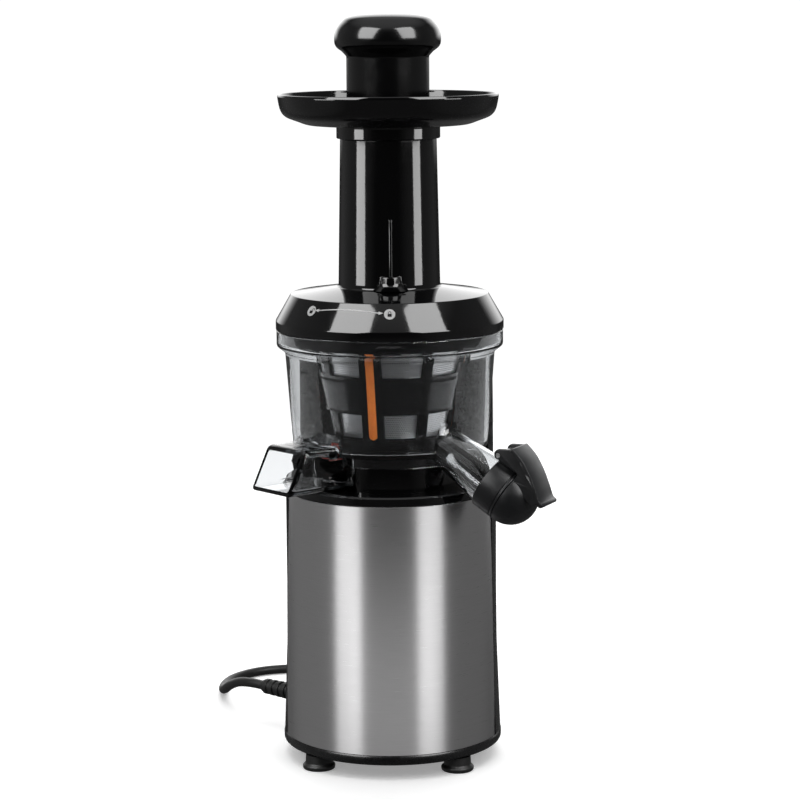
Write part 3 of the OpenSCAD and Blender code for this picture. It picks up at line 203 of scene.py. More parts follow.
def addNode(material, kind, links=None, **values):
    tree = material.node_tree
    node = tree.nodes.new(kind)
    for key, value in values.items():
        if hasattr(node, key):
            setattr(node, key, value)
        else:
            node.inputs[key.replace("_", " ")].default_value = value
    for socket, source in (links or {}).items():
        tree.links.new(source, node.inputs[socket])
    return node


def link(material, source, socket):
    shader = material.node_tree.nodes["Principled BSDF"]
    material.node_tree.links.new(source, shader.inputs[socket])


def scaled(material, scale):
    coords = addNode(material, "ShaderNodeTexCoord")
    mapping = addNode(material, "ShaderNodeMapping", {"Vector": coords.outputs["Object"]})
    mapping.inputs["Scale"].default_value = scale
    return mapping.outputs[0]


def noise(material, scale, detail, **more):
    return addNode(material, "ShaderNodeTexNoise", {"Vector": scaled(material, scale)}, Detail=detail,
                   **more).outputs[0]


def ramp(material, source, socket, stops):
    node = addNode(material, "ShaderNodeValToRGB", {"Fac": source})
    for element, (place, value) in zip(node.color_ramp.elements, stops):
        element.position = place
        element.color = (*value, 1) if isinstance(value, tuple) else (value, value, value, 1)
    link(material, node.outputs[0], socket)


def bump(material, source, strength, depth):
    node = addNode(material, "ShaderNodeBump", {"Height": source}, Strength=strength, Distance=depth)
    link(material, node.outputs[0], "Normal")


def glossPlastic(name, colour, rough, haze=0.04, wave=0.05):
    # polished moulding: a very slight waviness and a faint uneven haze in the gloss
    material = newMaterial(name, Base_Color=colour, Roughness=rough, IOR=1.5)
    ramp(material, noise(material, (22, 22, 22), 3), "Roughness", [(0.3, rough), (0.75, rough + haze)])
    bump(material, noise(material, (90, 90, 60), 1), wave, 0.0002)
    return material


def satinPlastic(name, colour, rough, grain=900, strength=0.07, shine=0.5):
    # fine spark-eroded texture with small differences in shine
    material = newMaterial(name, Base_Color=colour, Roughness=rough, IOR=1.48, Specular_IOR_Level=shine)
    cloud = noise(material, (35, 35, 35), 4)
    ramp(material, cloud, "Roughness", [(0.25, rough - 0.05), (0.8, rough + 0.08)])
    ramp(material, cloud, "Base Color", [(0.2, tuple(c * 0.85 for c in colour)),
        (0.8, tuple(c * 1.15 for c in colour))])
    bump(material, noise(material, (grain, grain, grain), 2), strength, 0.00008)
    return material


def brushedSteel(name):
    # lines run round the body, so reflections spread up and down; the piece's UV runs up its side
    material = newMaterial(name, Base_Color=(0.6, 0.595, 0.6), Metallic=1, Roughness=0.3, Anisotropic=0.75)
    tangent = addNode(material, "ShaderNodeTangent", direction_type="UV_MAP", uv_map="brushing")
    link(material, tangent.outputs[0], "Tangent")
    lines = noise(material, (9, 9, 5200), 5, Roughness=0.62)
    ramp(material, lines, "Base Color", [(0.25, (0.52, 0.515, 0.52)), (0.75, (0.68, 0.675, 0.68))])
    ramp(material, noise(material, (14, 14, 700), 3), "Roughness", [(0.2, 0.26), (0.8, 0.36)])
    bump(material, lines, 0.12, 0.00003)
    return material


def turnedSteel(name, colour=(0.6, 0.6, 0.61), rough=0.25, metal=1):
    material = newMaterial(name, Base_Color=colour, Metallic=metal, Roughness=rough)
    rings = noise(material, (60, 60, 2600), 3)
    ramp(material, rings, "Roughness", [(0.3, rough - 0.06), (0.7, rough + 0.1)])
    bump(material, rings, 0.1, 0.00004)
    return material


def clearPlastic(name):
    material = newMaterial(name, Base_Color=(0.95, 0.96, 0.97), Roughness=0.015, IOR=1.5, Transmission_Weight=1.0,
        Specular_IOR_Level=0.3)
    tint = addNode(material, "ShaderNodeVolumeAbsorption", Density=80, Color=(0.1, 0.13, 0.15, 1))
    tree = material.node_tree
    tree.links.new(tint.outputs[0], tree.nodes["Material Output"].inputs["Volume"])
    bump(material, noise(material, (30, 30, 22), 1), 0.012, 0.0004)
    return material


def silicone(name, colour, rough=0.42):
    material = newMaterial(name, Base_Color=colour, Roughness=rough, Subsurface_Weight=0.12, Subsurface_Scale=0.002)
    dark, light = tuple(c * 0.88 for c in colour), tuple(min(1, c * 1.08) for c in colour)
    ramp(material, noise(material, (70, 70, 25), 3), "Base Color", [(0.25, dark), (0.75, light)])
    bump(material, noise(material, (700, 700, 700), 2), 0.15, 0.00006)
    return material


def winding(name):
    material = newMaterial(name, Base_Color=(0.3, 0.13, 0.05), Metallic=0.7, Roughness=0.4)
    turns = addNode(material, "ShaderNodeTexWave", {"Vector": scaled(material, (1, 1, 900))},
                    bands_direction="Z").outputs[0]
    ramp(material, turns, "Base Color", [(0.1, (0.12, 0.05, 0.02)), (0.7, (0.42, 0.2, 0.08))])
    bump(material, turns, 0.4, 0.0002)
    return material


def printedBoard(name):
    material = newMaterial(name, Base_Color=(0.03, 0.16, 0.06), Roughness=0.35)
    tracks = addNode(material, "ShaderNodeTexBrick", {"Vector": scaled(material, (300, 300, 300))}).outputs["Fac"]
    ramp(material, tracks, "Base Color", [(0.4, (0.02, 0.13, 0.05)), (0.9, (0.06, 0.24, 0.1))])
    return material


def makeFinishes():
    return {
        "black_gloss": glossPlastic("glossBlack", (0.0022, 0.0022, 0.0026), 0.06),
        "black_satin": satinPlastic("satinBlack", (0.0035, 0.0035, 0.004), 0.26),
        "dark_grey": satinPlastic("satinGrey", (0.016, 0.0165, 0.018), 0.33, 700, 0.08, 0.3),
        "clear": clearPlastic("clearPlastic"),
        "steel_brushed": brushedSteel("brushedSteel"),
        "steel_mesh": turnedSteel("perforatedSteel", (0.82, 0.82, 0.83), 0.3, 0.84),
        "steel_plain": turnedSteel("turnedSteel"),
        "bronze": turnedSteel("sinteredBronze", (0.5, 0.33, 0.15), 0.45),
        "silicone_orange": silicone("orangeSilicone", (0.93, 0.235, 0.03)),
        "silicone_red": silicone("redSilicone", (0.45, 0.05, 0.035)),
        "silicone_grey": silicone("greySilicone", (0.3, 0.31, 0.32)),
        "rubber_black": satinPlastic("blackRubber", (0.006, 0.006, 0.006), 0.45, 500, 0.2),
        "nylon": satinPlastic("naturalNylon", (0.74, 0.7, 0.6), 0.42),
        "winding": winding("copperWinding"),
        "board": printedBoard("circuitBoard"),
        "print": satinPlastic("whitePrint", (0.72, 0.72, 0.72), 0.45, 1500, 0.05),
    }


def fillet(points, step=15):
    # corners are (x, y) or (x, y, radius); a corner with a radius becomes an arc
    out = []
    for i, corner in enumerate(points):
        here = Vector(corner[:2])
        if len(corner) < 3:
            out.append(here)
            continue
        back = Vector(points[i - 1][:2]) - here
        on = Vector(points[(i + 1) % len(points)][:2]) - here
        half = back.angle(on) / 2
        cut = min(corner[2] / tan(half), 0.48 * min(back.length, on.length))
        back.normalize()
        on.normalize()
        centre = here + (back + on).normalized() * (cut / cos(half))
        start = here + back * cut - centre
        end = here + on * cut - centre
        first = atan2(start.y, start.x)
        turn = (atan2(end.y, end.x) - first + pi) % tau - pi
        steps = max(2, ceil(abs(degrees(turn)) / step - 0.05))
        for k in range(steps + 1):
            angle = first + turn * k / steps
            out.append(centre + start.length * Vector((cos(angle), sin(angle))))
    return out


def flowing(points, steps=8):
    # a smooth line through points of any size
    out = []
    for i in range(len(points) - 1):
        a = Vector(points[max(i - 1, 0)])
        b, c = Vector(points[i]), Vector(points[i + 1])
        d = Vector(points[min(i + 2, len(points) - 1)])
        for k in range(steps):
            t = k / steps
            out.append(0.5 * (2 * b + (c - a) * t + (2 * a - 5 * b + 4 * c - d) * t * t
                              + (3 * b - a - 3 * c + d) * t ** 3))
    return out + [Vector(points[-1])]


def lathe(mesh, outline, segments=160, start=0, sweep=360, place=None):
    # turns a closed outline of (radius, height) round the axis, or part of the way with closed ends
    full = sweep == 360
    place = place or Matrix.Identity(4)
    rings = []
    for s in range(segments if full else segments + 1):
        angle = radians(start + sweep * s / segments)
        x, y = cos(angle), sin(angle)
        rings.append([mesh.verts.new(place @ (Vector((p[0] * x, p[0] * y, p[1])) * mm)) for p in outline])
    count = len(outline)
    for s in range(segments):
        here, there = rings[s], rings[(s + 1) % len(rings)]
        for k in range(count):
            j = (k + 1) % count
            mesh.faces.new((here[k], there[k], there[j], here[j]))
    if not full:
        mesh.faces.new(rings[0])
        mesh.faces.new(rings[-1][::-1])


def slab(mesh, outline, low, high, place=None):
    # a closed outline in x and y, from height low to high
    place = place or Matrix.Identity(4)
    bottom = [mesh.verts.new(place @ (Vector((p[0], p[1], low)) * mm)) for p in outline]
    top = [mesh.verts.new(place @ (Vector((p[0], p[1], high)) * mm)) for p in outline]
    count = len(outline)
    mesh.faces.new(bottom[::-1])
    mesh.faces.new(top)
    for k in range(count):
        j = (k + 1) % count
        mesh.faces.new((bottom[k], bottom[j], top[j], top[k]))


def roundedRectangle(wide, high, radius, step=15):
    x, y = wide / 2, high / 2
    return fillet([(-x, -y, radius), (x, -y, radius), (x, y, radius), (-x, y, radius)], step)


def closeMesh(mesh):
    bmesh.ops.remove_doubles(mesh, verts=mesh.verts, dist=0.002 * mm)
    bmesh.ops.recalc_face_normals(mesh, faces=mesh.faces)


def smoothed(data, angle):
    data.shade_smooth()
    data.set_sharp_from_angle(angle=radians(angle))


def toObject(name, mesh, finish, angle=32, tidy=True):
    if tidy:
        closeMesh(mesh)
    data = bpy.data.meshes.new(name)
    mesh.to_mesh(data)
    mesh.free()
    smoothed(data, angle)
    piece = added(name, data)
    data.materials.append(finishes[finish])
    return piece


def turned(name, outline, finish, facets=40, start=0, sweep=360, place=None, angle=32):
    mesh = bmesh.new()
    lathe(mesh, outline, facets, start, sweep, place)
    return toObject(name, mesh, finish, angle)


def slabbed(name, outline, low, high, finish, place=None, angle=32):
    mesh = bmesh.new()
    slab(mesh, outline, low, high, place)
    return toObject(name, mesh, finish, angle)


def skinned(name, rows, finish, angle, place=None):
    # a closed skin over sections that all have the same number of points
    mesh = bmesh.new()
    place = place or Matrix.Identity(4)
    rings = [[mesh.verts.new(place @ (Vector(p) * mm)) for p in row] for row in rows]
    for a, b in zip(rings, rings[1:]):
        for k in range(len(a)):
            j = (k + 1) % len(a)
            mesh.faces.new((a[k], a[j], b[j], b[k]))
    mesh.faces.new(rings[0][::-1])
    mesh.faces.new(rings[-1])
    return toObject(name, mesh, finish, angle)


def baked(piece, angle=None):
    # what the modifiers make becomes the mesh itself
    bpy.context.view_layer.update()
    solid = piece.evaluated_get(bpy.context.evaluated_depsgraph_get())
    data = bpy.data.meshes.new_from_object(solid)
    piece.modifiers.clear()
    piece.data = data
    if angle:
        smoothed(data, angle)
    return piece


def softEdges(piece, width, angle=40, segments=3):
    # rounds the sharp edges so that they catch the light
    bevel = piece.modifiers.new("softEdges", "BEVEL")
    bevel.width = width * mm
    bevel.segments = segments
    bevel.limit_method = "ANGLE"
    bevel.angle_limit = radians(angle)
    bevel.harden_normals = True
    return baked(piece)


def combined(piece, others, operation="UNION"):
    for other in others:
        join = piece.modifiers.new("join", "BOOLEAN")
        join.operation = operation
        join.solver = "EXACT"
        join.object = other
    baked(piece)
    for other in others:
        bpy.data.objects.remove(other)
    return piece


def settle(piece, body, slot, *replaced):
    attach(piece, body)
    if replaced:
        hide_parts(*replaced)
    return piece


def nodeCopy(node, finish):
    # the frame's own shape, as one closed mesh with its flat faces whole
    mesh = bmesh.new()
    mesh.from_mesh(nodes[node].data)
    bmesh.ops.remove_doubles(mesh, verts=mesh.verts, dist=0.003 * mm)
    bmesh.ops.dissolve_limit(mesh, angle_limit=radians(0.3), verts=mesh.verts, edges=mesh.edges)
    return toObject(node + "_dressed", mesh, finish, tidy=False)


def smoothCopy(node, body, slot, edge=0.3, finish=None):
    # the frame's own shape, with its facets shaded smooth and its edges softened
    piece = nodeCopy(node, finish or slot)
    smoothed(piece.data, 32)
    softEdges(piece, edge)
    return settle(piece, body, slot, node)


def cadDressed():
    # every node keeps its slot's finish, also where another piece stands for it
    for row in frame["record"]["subparts"]:
        data = nodes[row["node"]].data
        data.materials.clear()
        data.materials.append(finishes[row["material_slot"]])


def repeated(unit, name, finish, sizes, place, weld=0, angle=None):
    # Geometry Nodes: copies of a unit mesh. The sizes become inputs of the group, and from them place makes the
    # count and each copy's turn, spot and scale
    tree = bpy.data.node_groups.new(name, "GeometryNodeTree")
    socket = tree.interface.new_socket
    socket("Geometry", in_out="INPUT", socket_type="NodeSocketGeometry")
    for label, value in sizes.items():
        socket(label, in_out="INPUT", socket_type="NodeSocketInt" if isinstance(value, int) else "NodeSocketFloat")
    socket("Geometry", in_out="OUTPUT", socket_type="NodeSocketGeometry")

    def node(kind, inputs=(), operation=None):
        made = tree.nodes.new(kind)
        if operation:
            made.operation = operation
        for key, value in dict(inputs).items():
            if isinstance(value, bpy.types.NodeSocket):
                tree.links.new(value, made.inputs[key])
            else:
                made.inputs[key].default_value = value
        return made.outputs[0]

    def maths(operation, *values):
        return node("ShaderNodeMath", enumerate(values), operation)

    enter = tree.nodes.new("NodeGroupInput").outputs
    count, turn, spot, scale = place(enter, node("GeometryNodeInputIndex"), maths, node)
    points = node("GeometryNodeSetPosition", {"Geometry": node("GeometryNodePoints", {"Count": count}),
        "Position": spot})
    copies = node("GeometryNodeInstanceOnPoints", {"Points": points, "Instance": enter["Geometry"],
        "Rotation": turn, "Scale": scale})
    result = node("GeometryNodeRealizeInstances", {"Geometry": copies})
    if weld:
        result = node("GeometryNodeMergeByDistance", {"Geometry": result, "Distance": weld})
    result = node("GeometryNodeSetMaterial", {"Geometry": result, "Material": finishes[finish]})
    tree.links.new(result, tree.nodes.new("NodeGroupOutput").inputs[0])
    ids = {item.name: item.identifier for item in tree.interface.items_tree}
    grow = unit.modifiers.new(name, "NODES")
    grow.node_group = tree
    for label, value in sizes.items():
        grow[ids[label]] = value
    unit.name = name
    return baked(unit, angle)


def ringOf(name, unit, finish, count, start=0):
    # copies round the main axis
    def place(enter, index, maths, node):
        step = maths("DIVIDE", tau, enter["Count"])
        turn = node("ShaderNodeCombineXYZ", {"Z": maths("ADD", maths("MULTIPLY", step, index), enter["Start"])})
        return enter["Count"], turn, (0, 0, 0), (1, 1, 1)

    return repeated(unit, name, finish, {"Count": count, "Start": radians(start)}, place, angle=32)


steelSleeve = Sizes(lowRadius=71.0, topRadius=68.0, half=75, sheet=0.8, edge=0.3, facets=220)


def makeSteelSleeve():
    low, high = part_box("steel_sleeve")
    s = steelSleeve
    foot, top = low.z / mm, high.z / mm
    outline = fillet([(s.lowRadius, foot, s.edge), (s.topRadius, top, s.edge),
                      (s.topRadius - s.sheet, top, s.edge), (s.lowRadius - s.sheet, foot, s.edge)], 30)
    piece = turned("steelSleeve", outline, "steel_brushed", s.facets, -90 - s.half, 2 * s.half)
    layer = piece.data.uv_layers.new(name="brushing")
    for loop in piece.data.loops:
        co = piece.data.vertices[loop.vertex_index].co
        layer.data[loop.index].uv = (co.z, atan2(co.x, -co.y) * s.lowRadius * mm)
    return settle(piece, "base", "steel_brushed", "steel_sleeve")


feet = Sizes(spread=45, radius=10.7, neck=8.56, height=9.5, seat=6.1, headHole=4.4, screwHole=2.2)


def makeFeet():
    f = feet
    outline = fillet([(f.headHole, 0, 0.3), (f.radius - 0.4, 0, 1), (f.radius, 2.6, 1), (f.neck + 0.3, 4.2, 1.2),
                      (f.neck, f.height), (f.screwHole, f.height), (f.screwHole, f.seat), (f.headHole, f.seat)])
    foot = turned("rubberFoot", outline, "rubber_black", 48, place=shift(f.spread, f.spread, 0))
    settle(ringOf("rubberFeet", foot, "rubber_black", 4), "base", "rubber_black", "rubber_feet")


lidShape = Sizes(radius=74, rim=4.3, shoulderRadius=64, shoulder=23, roof=27.5, tubeLow=32.4, tubeTop=31.1,
                 bore=28.6, spigot=30.2, tube=105, spigotLength=10, ledge=1.5, ledgeThick=3, joint=3, facets=200)


def makeLid():
    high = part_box("feed_tube")[1]
    d = lidShape
    foot = high.z / mm - d.tube - d.roof
    roof = foot + d.roof
    outline = fillet([(69.6, foot, 0.3), (d.radius, foot, 0.5), (d.radius, foot + d.rim + 1.4, 2.2),
                      (d.shoulderRadius, foot + d.shoulder, 0.9), (d.tubeLow + 0.6, roof, 2.4),
                      (d.tubeLow + 0.56, roof + d.joint), (27, roof + d.joint), (27, roof - 2.5, 1),
                      (d.shoulderRadius - 1, foot + 19.5, 1.5), (70, foot + d.rim, 1.5)], 12)
    piece = turned("feedLid", outline, "black_gloss", d.facets)
    # skirt that turns into the bowl's rim, and the ring over the strainer
    skirt = fillet([(68.8, foot - 8, 0.4), (70.8, foot - 8, 0.6), (70.8, foot + 1), (68.8, foot + 1)], 12)
    ring = fillet([(49.5, foot - 2.4, 0.4), (51.5, foot - 2.4, 0.6), (51.5, roof - 3.2), (49.5, roof - 3.2)], 12)
    combined(piece, [turned("skirt", skirt, "black_gloss", d.facets), turned("ring", ring, "black_gloss", 120)])
    smoothed(piece.data, 30)
    settle(piece, "lid", "black_gloss", "lid")
    return foot, roof, high.z / mm


def makeFeedTube(roof, end):
    d = lidShape
    ledge, start = roof + d.ledge, roof + d.joint
    top = ledge + d.ledgeThick
    long = end - d.spigotLength - roof
    # rings up the tube, close together at its foot, so that the shading stays local
    rings = [(d.tubeLow + 0.6 + (d.tubeTop - d.tubeLow - 0.6) * up / long, roof + up)
             for up in (5, 9, 9.6, 12, 20, 32, 44, 45.5, 50, 70)]
    outline = fillet([(d.tubeLow + 0.56, start), *rings, (d.tubeTop, end - d.spigotLength, 0.35),
                      (d.spigot, end - d.spigotLength, 0.2), (d.spigot, end, 0.5), (d.bore, end, 0.5),
                      (d.bore, top, 0.4), (26.4, top, 0.4), (26.4, start)], 12)
    piece = turned("feedTube", outline, "black_gloss", d.facets)
    # the ledge at the foot of the tube, open in front, and the boss that holds the auger's pin
    shelf = fillet([(7.5, ledge), (26.9, ledge), (26.9, top, 0.4), (7.5, top)], 12)
    bush = fillet([(6.6, ledge - 13, 0.3), (8.5, ledge - 13, 0.5), (8.5, ledge + 2), (9.2, top, 0.5), (0, top),
                   (0, ledge + 1), (6.6, ledge - 1)], 12)
    combined(piece, [turned("shelf", shelf, "black_gloss", 60, 15, 150), turned("bush", bush, "black_gloss", 64),
                     lidFin(roof), lidBoss(roof)])
    smoothed(piece.data, 30)
    return settle(piece, "lid", "black_gloss", "feed_tube")


finShape = Sizes(at=-84.5, thick=2.0, out=1.25, high=45)


def lidFin(roof):
    f = finShape
    reach = lidShape.tubeLow + f.out
    side = fillet([(29.4, roof + 0.1), (reach, roof + 0.1), (reach - 0.7, roof + f.high, 1.2),
                   (29.4, roof + f.high)])
    place = rotation(f.at, "Z") @ rotation(90, "X")
    return softEdges(slabbed("lidFin", side, -f.thick / 2, f.thick / 2, "black_gloss", place), 0.55, 50)


def lidBoss(roof):
    outline = fillet([(0, roof + 9.2), (8.7, roof + 9.0, 0.9), (9.3, roof + 3.4, 4), (12.8, roof + 0.05),
                      (0, roof + 0.05)], 12)
    place = rotation(finShape.at, "Z") @ shift(lidShape.tubeLow - 6, 0, 0)
    cut = turned("lidBossCut", [(0, roof - 6), (30.2, roof - 6), (30.2, roof + 20), (0, roof + 20)], "black_gloss",
                 96)
    return combined(turned("lidBoss", outline, "black_gloss", 72, place=place), [cut], "DIFFERENCE")


# marks printed on the lid's slope: two discs with a padlock, and an arrow between them
marks = Sizes(open=-132.7, shut=-86.0, up=0.64, arch=0.09, disc=3.5, arrowFrom=-128.0, arrowTo=-91.4, line=0.55,
              proud=0.06, slope=16)


def onSlope(foot, angle, up, out):
    # a point on the lid's slope: share of the way up, and how far it stands out
    d = lidShape
    low = Vector((d.radius, foot + d.rim + 1.4))
    high = Vector((d.shoulderRadius, foot + d.shoulder))
    along = high - low
    normal = Vector((along.y, -along.x)).normalized()
    p = low + along * up + normal * out
    return atAngle(p.x, angle, p.y) * mm


def slopeFrame(foot, angle, up, out):
    centre = onSlope(foot, angle, up, out)
    right = Vector((-sin(radians(angle)), cos(radians(angle)), 0))
    rise = (onSlope(foot, angle, up + 0.1, out) - onSlope(foot, angle, up - 0.1, out)).normalized()
    return Matrix.Translation(centre) @ Matrix((right, rise, right.cross(rise))).transposed().to_4x4()


def makeLidMarks(foot):
    m = marks
    white, black = bmesh.new(), bmesh.new()
    arc = [(cos(a * pi / 8), sin(a * pi / 8)) for a in range(1, 8)]
    for angle, shut in ((m.open, False), (m.shut, True)):
        face = slopeFrame(foot, angle, m.up, 0)
        ring = [(m.disc * cos(k * tau / 48), m.disc * sin(k * tau / 48)) for k in range(48)]
        slab(white, ring, -0.15, m.proud, face)
        place = face @ Matrix.Translation((0, -0.7 * mm, 0))
        slab(black, roundedRectangle(2.6, 2.0, 0.3), m.proud - 0.05, m.proud + 0.04, place)
        # the shackle stands over the lock when shut, and beside it when open
        aside = 0 if shut else 1.5
        end = -0.1 if shut else 0.6
        loop = [(1.0, end), (1.0, 1.0), *((x, 1.0 + y) for x, y in arc), (-1.0, 1.0), (-1.0, -0.1), (-0.6, -0.1),
                (-0.6, 1.0), *((-0.6 * x, 1.0 + 0.6 * y) for x, y in arc), (0.6, 1.0), (0.6, end)]
        slab(black, [(x + aside, y) for x, y in loop], m.proud - 0.05, m.proud + 0.04, face)
    steps = 40
    half = m.line / 2 / m.slope
    for k in range(steps):
        spans = [m.arrowFrom + (m.arrowTo - m.arrowFrom) * t / steps for t in (k, k + 1)]
        rise = [m.up + 0.04 + m.arch * sin(pi * t / steps) for t in (k, k + 1)]
        strip = [onSlope(foot, a, up + side * half, out) for a, up in zip(spans, rise) for side in (-1, 1)
                 for out in (-0.1, m.proud)]
        corners = [white.verts.new(p) for p in strip]
        for quad in ((0, 1, 3, 2), (4, 6, 7, 5), (0, 4, 5, 1), (2, 3, 7, 6), (1, 5, 7, 3), (0, 2, 6, 4)):
            white.faces.new([corners[q] for q in quad])
    for angle, way in ((m.arrowFrom, -1), (m.arrowTo, 1)):
        face = slopeFrame(foot, angle, m.up + 0.04, 0)
        slab(white, [(-0.6 * way, -1.15), (2.4 * way, 0), (-0.6 * way, 1.15)][::way], -0.15, m.proud + 0.02, face)
    settle(toObject("lidMarks", white, "print"), "lid", "black_gloss")
    settle(toObject("lidLocks", black, "black_satin"), "lid", "black_gloss")


trayShape = Sizes(radius=71.1, floor=10.8, collar=33.4, bore=30.5, facets=200)


def makeTray():
    low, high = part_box("hopper_tray")
    z0, z1 = low.z / mm, high.z / mm
    t = trayShape
    floor = z0 + t.floor
    r = t.radius
    under = flowing([(t.collar + 1.5, floor - 2.5), (r - 26, floor - 2.4), (r - 19, floor - 1.9),
                     (r - 12.5, floor + 0.3), (r - 6.2, floor + 2.7), (r - 3.2, floor + 5.2),
                     (r - 1.7, floor + 8.0), (r - 0.8, floor + 11.5), (r, z1 - 1.4)], 5)
    inside = flowing([(r - 2.1, z1 - 1.6), (r - 2.8, floor + 11), (r - 4.8, floor + 7.2), (r - 8, floor + 4.5),
                      (r - 14, floor + 2.3), (r - 20, floor + 0.5), (r - 27, floor), (t.bore + 1, floor)], 5)
    lip = [(r - 0.5, z1 - 0.25), (r - 1.05, z1), (r - 1.6, z1 - 0.3)]
    outline = [*under, *lip, *inside, (t.bore, floor - 0.4), (t.bore, z0 + 0.4), (t.bore + 0.4, z0),
               (t.collar - 0.5, z0), (t.collar, z0 + 0.5), (t.collar, z0 + 1.1), (t.collar, floor - 4.2),
               (t.collar, floor - 3.6), (t.collar + 0.4, floor - 2.8)]
    piece = turned("hopperTray", outline, "black_gloss", t.facets, angle=40)
    return settle(piece, "tray", "black_gloss", "hopper_tray")


pusherShape = Sizes(radius=26.6, knob=34.2, knobHigh=27, wall=2.5, facets=180)


def makePusher():
    low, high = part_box("pusher")
    p = pusherShape
    foot, top = low.z / mm, high.z / mm
    neck = top - p.knobHigh
    rise = p.knob - p.radius
    side = [(0, 0), (0.1, 0.9), (0.36, 3), (0.74, 5.2), (0.93, 7.2), (1, 9.6), (0.99, 12.8), (0.9, 15.8),
            (0.74, 18.6), (0.44, 21.6), (0.02, 24.4), (-0.75, 26.2), (-1.7, 26.9), (-3.5, 27)]
    curve = flowing([(p.radius + rise * a, neck + b) for a, b in side], 6)
    outline = [(p.radius - p.wall + 0.4, foot), (p.radius - 0.5, foot), (p.radius, foot + 0.5),
               (p.radius, neck - 1), *curve, (0, top), (0, top - 6), (p.radius - 9, top - 7.5),
               (p.radius - p.wall, neck + 5), (p.radius - p.wall, foot + 0.4)]
    settle(turned("pusherBody", outline, "pusher", p.facets, angle=40), "pusher", "black_gloss", "pusher")


spout = Sizes(root=(42.32, -46.64, 209.6), heading=-21.9, drop=32.5, cap=46.9, radius=18.3, inner=16.5,
              sleeveFrom=31, sleeveTo=46.6, wide=24, pinAlong=30, pinUp=21.2)


def spoutFrame():
    # z runs down the spout and x out of its top
    s = spout
    return shift(*s.root) @ rotation(s.heading, "Z") @ rotation(90 + s.drop, "Y") @ rotation(180, "Z")


bowl = Sizes(bottom=206.3, floor=208.8, posts=212.9, rim=282.5, rimRadius=73.6, seal=7.3, hub=52.4, pulpAt=24,
             chuteAt=-135, chuteHalf=20, chuteOut=102, chuteSlant=14.5, chuteLow=186, chuteTop=214, chuteWall=2.9,
             rootRadius=13, endRadius=16.4, coneEnd=30, spoutWall=1.8, spoutEnd=46, facets=192)


def wallRings(low, high, count):
    return [tuple(Vector(low).lerp(Vector(high), k / count)) for k in range(1, count)]


def bowlSide(inner):
    # the side of the bowl from its foot to its rim, outside or inside
    b = bowl
    if inner:
        low, high = (61.9, b.floor + 0.2), (65.95, 269.0)
        line = [(61.9, b.floor, 1.6), *wallRings(low, high, 6), (*high, 3.2), (71.4, 274.07, 2), (71.4, b.rim)]
    else:
        low, high = (63.6, b.bottom + 0.2), (68.14, 268.16)
        line = [(63.6, b.bottom, 1.3), *wallRings(low, high, 6), (*high, 3.5), (b.rimRadius, 272.46, 2.2),
                (b.rimRadius, b.rim, 0.7)]
    return line


def spoutSolid(name, grow, low, high):
    b = bowl
    slope = (b.endRadius - b.rootRadius) / b.coneEnd
    end = b.endRadius + grow
    start = (b.rootRadius + slope * low + grow, low)
    outline = [(0, low), start, *wallRings(start, (end, b.coneEnd), 5), (end, b.coneEnd), (end, high), (0, high)]
    return turned(name, outline, "clear", 96, place=spoutFrame())


def chuteSolid(name, inset, lift, out, edge):
    b = bowl
    place = rotation(b.chuteAt, "Z") @ rotation(90, "X")
    root, low, top, end = 12.8 + inset, b.chuteLow + inset, b.chuteTop - inset, b.chuteOut + out
    side = [(root, low), (end, low), (b.chuteOut - b.chuteSlant + out, top), (lift, top), (lift, b.bottom + 0.3),
            (root, b.bottom + 0.3)]
    return softEdges(slabbed(name, side, -b.chuteHalf + inset, b.chuteHalf - inset, "clear", place), edge, 40, 5)


def pillar(at, distance, outline, facets=40):
    return turned("pillar", outline, "clear", facets, place=shift(*atAngle(distance, at)))


def cylinder(radius, low, high, at=0, distance=0, facets=40):
    return pillar(at, distance, [(0, low), (radius, low), (radius, high), (0, high)], facets)


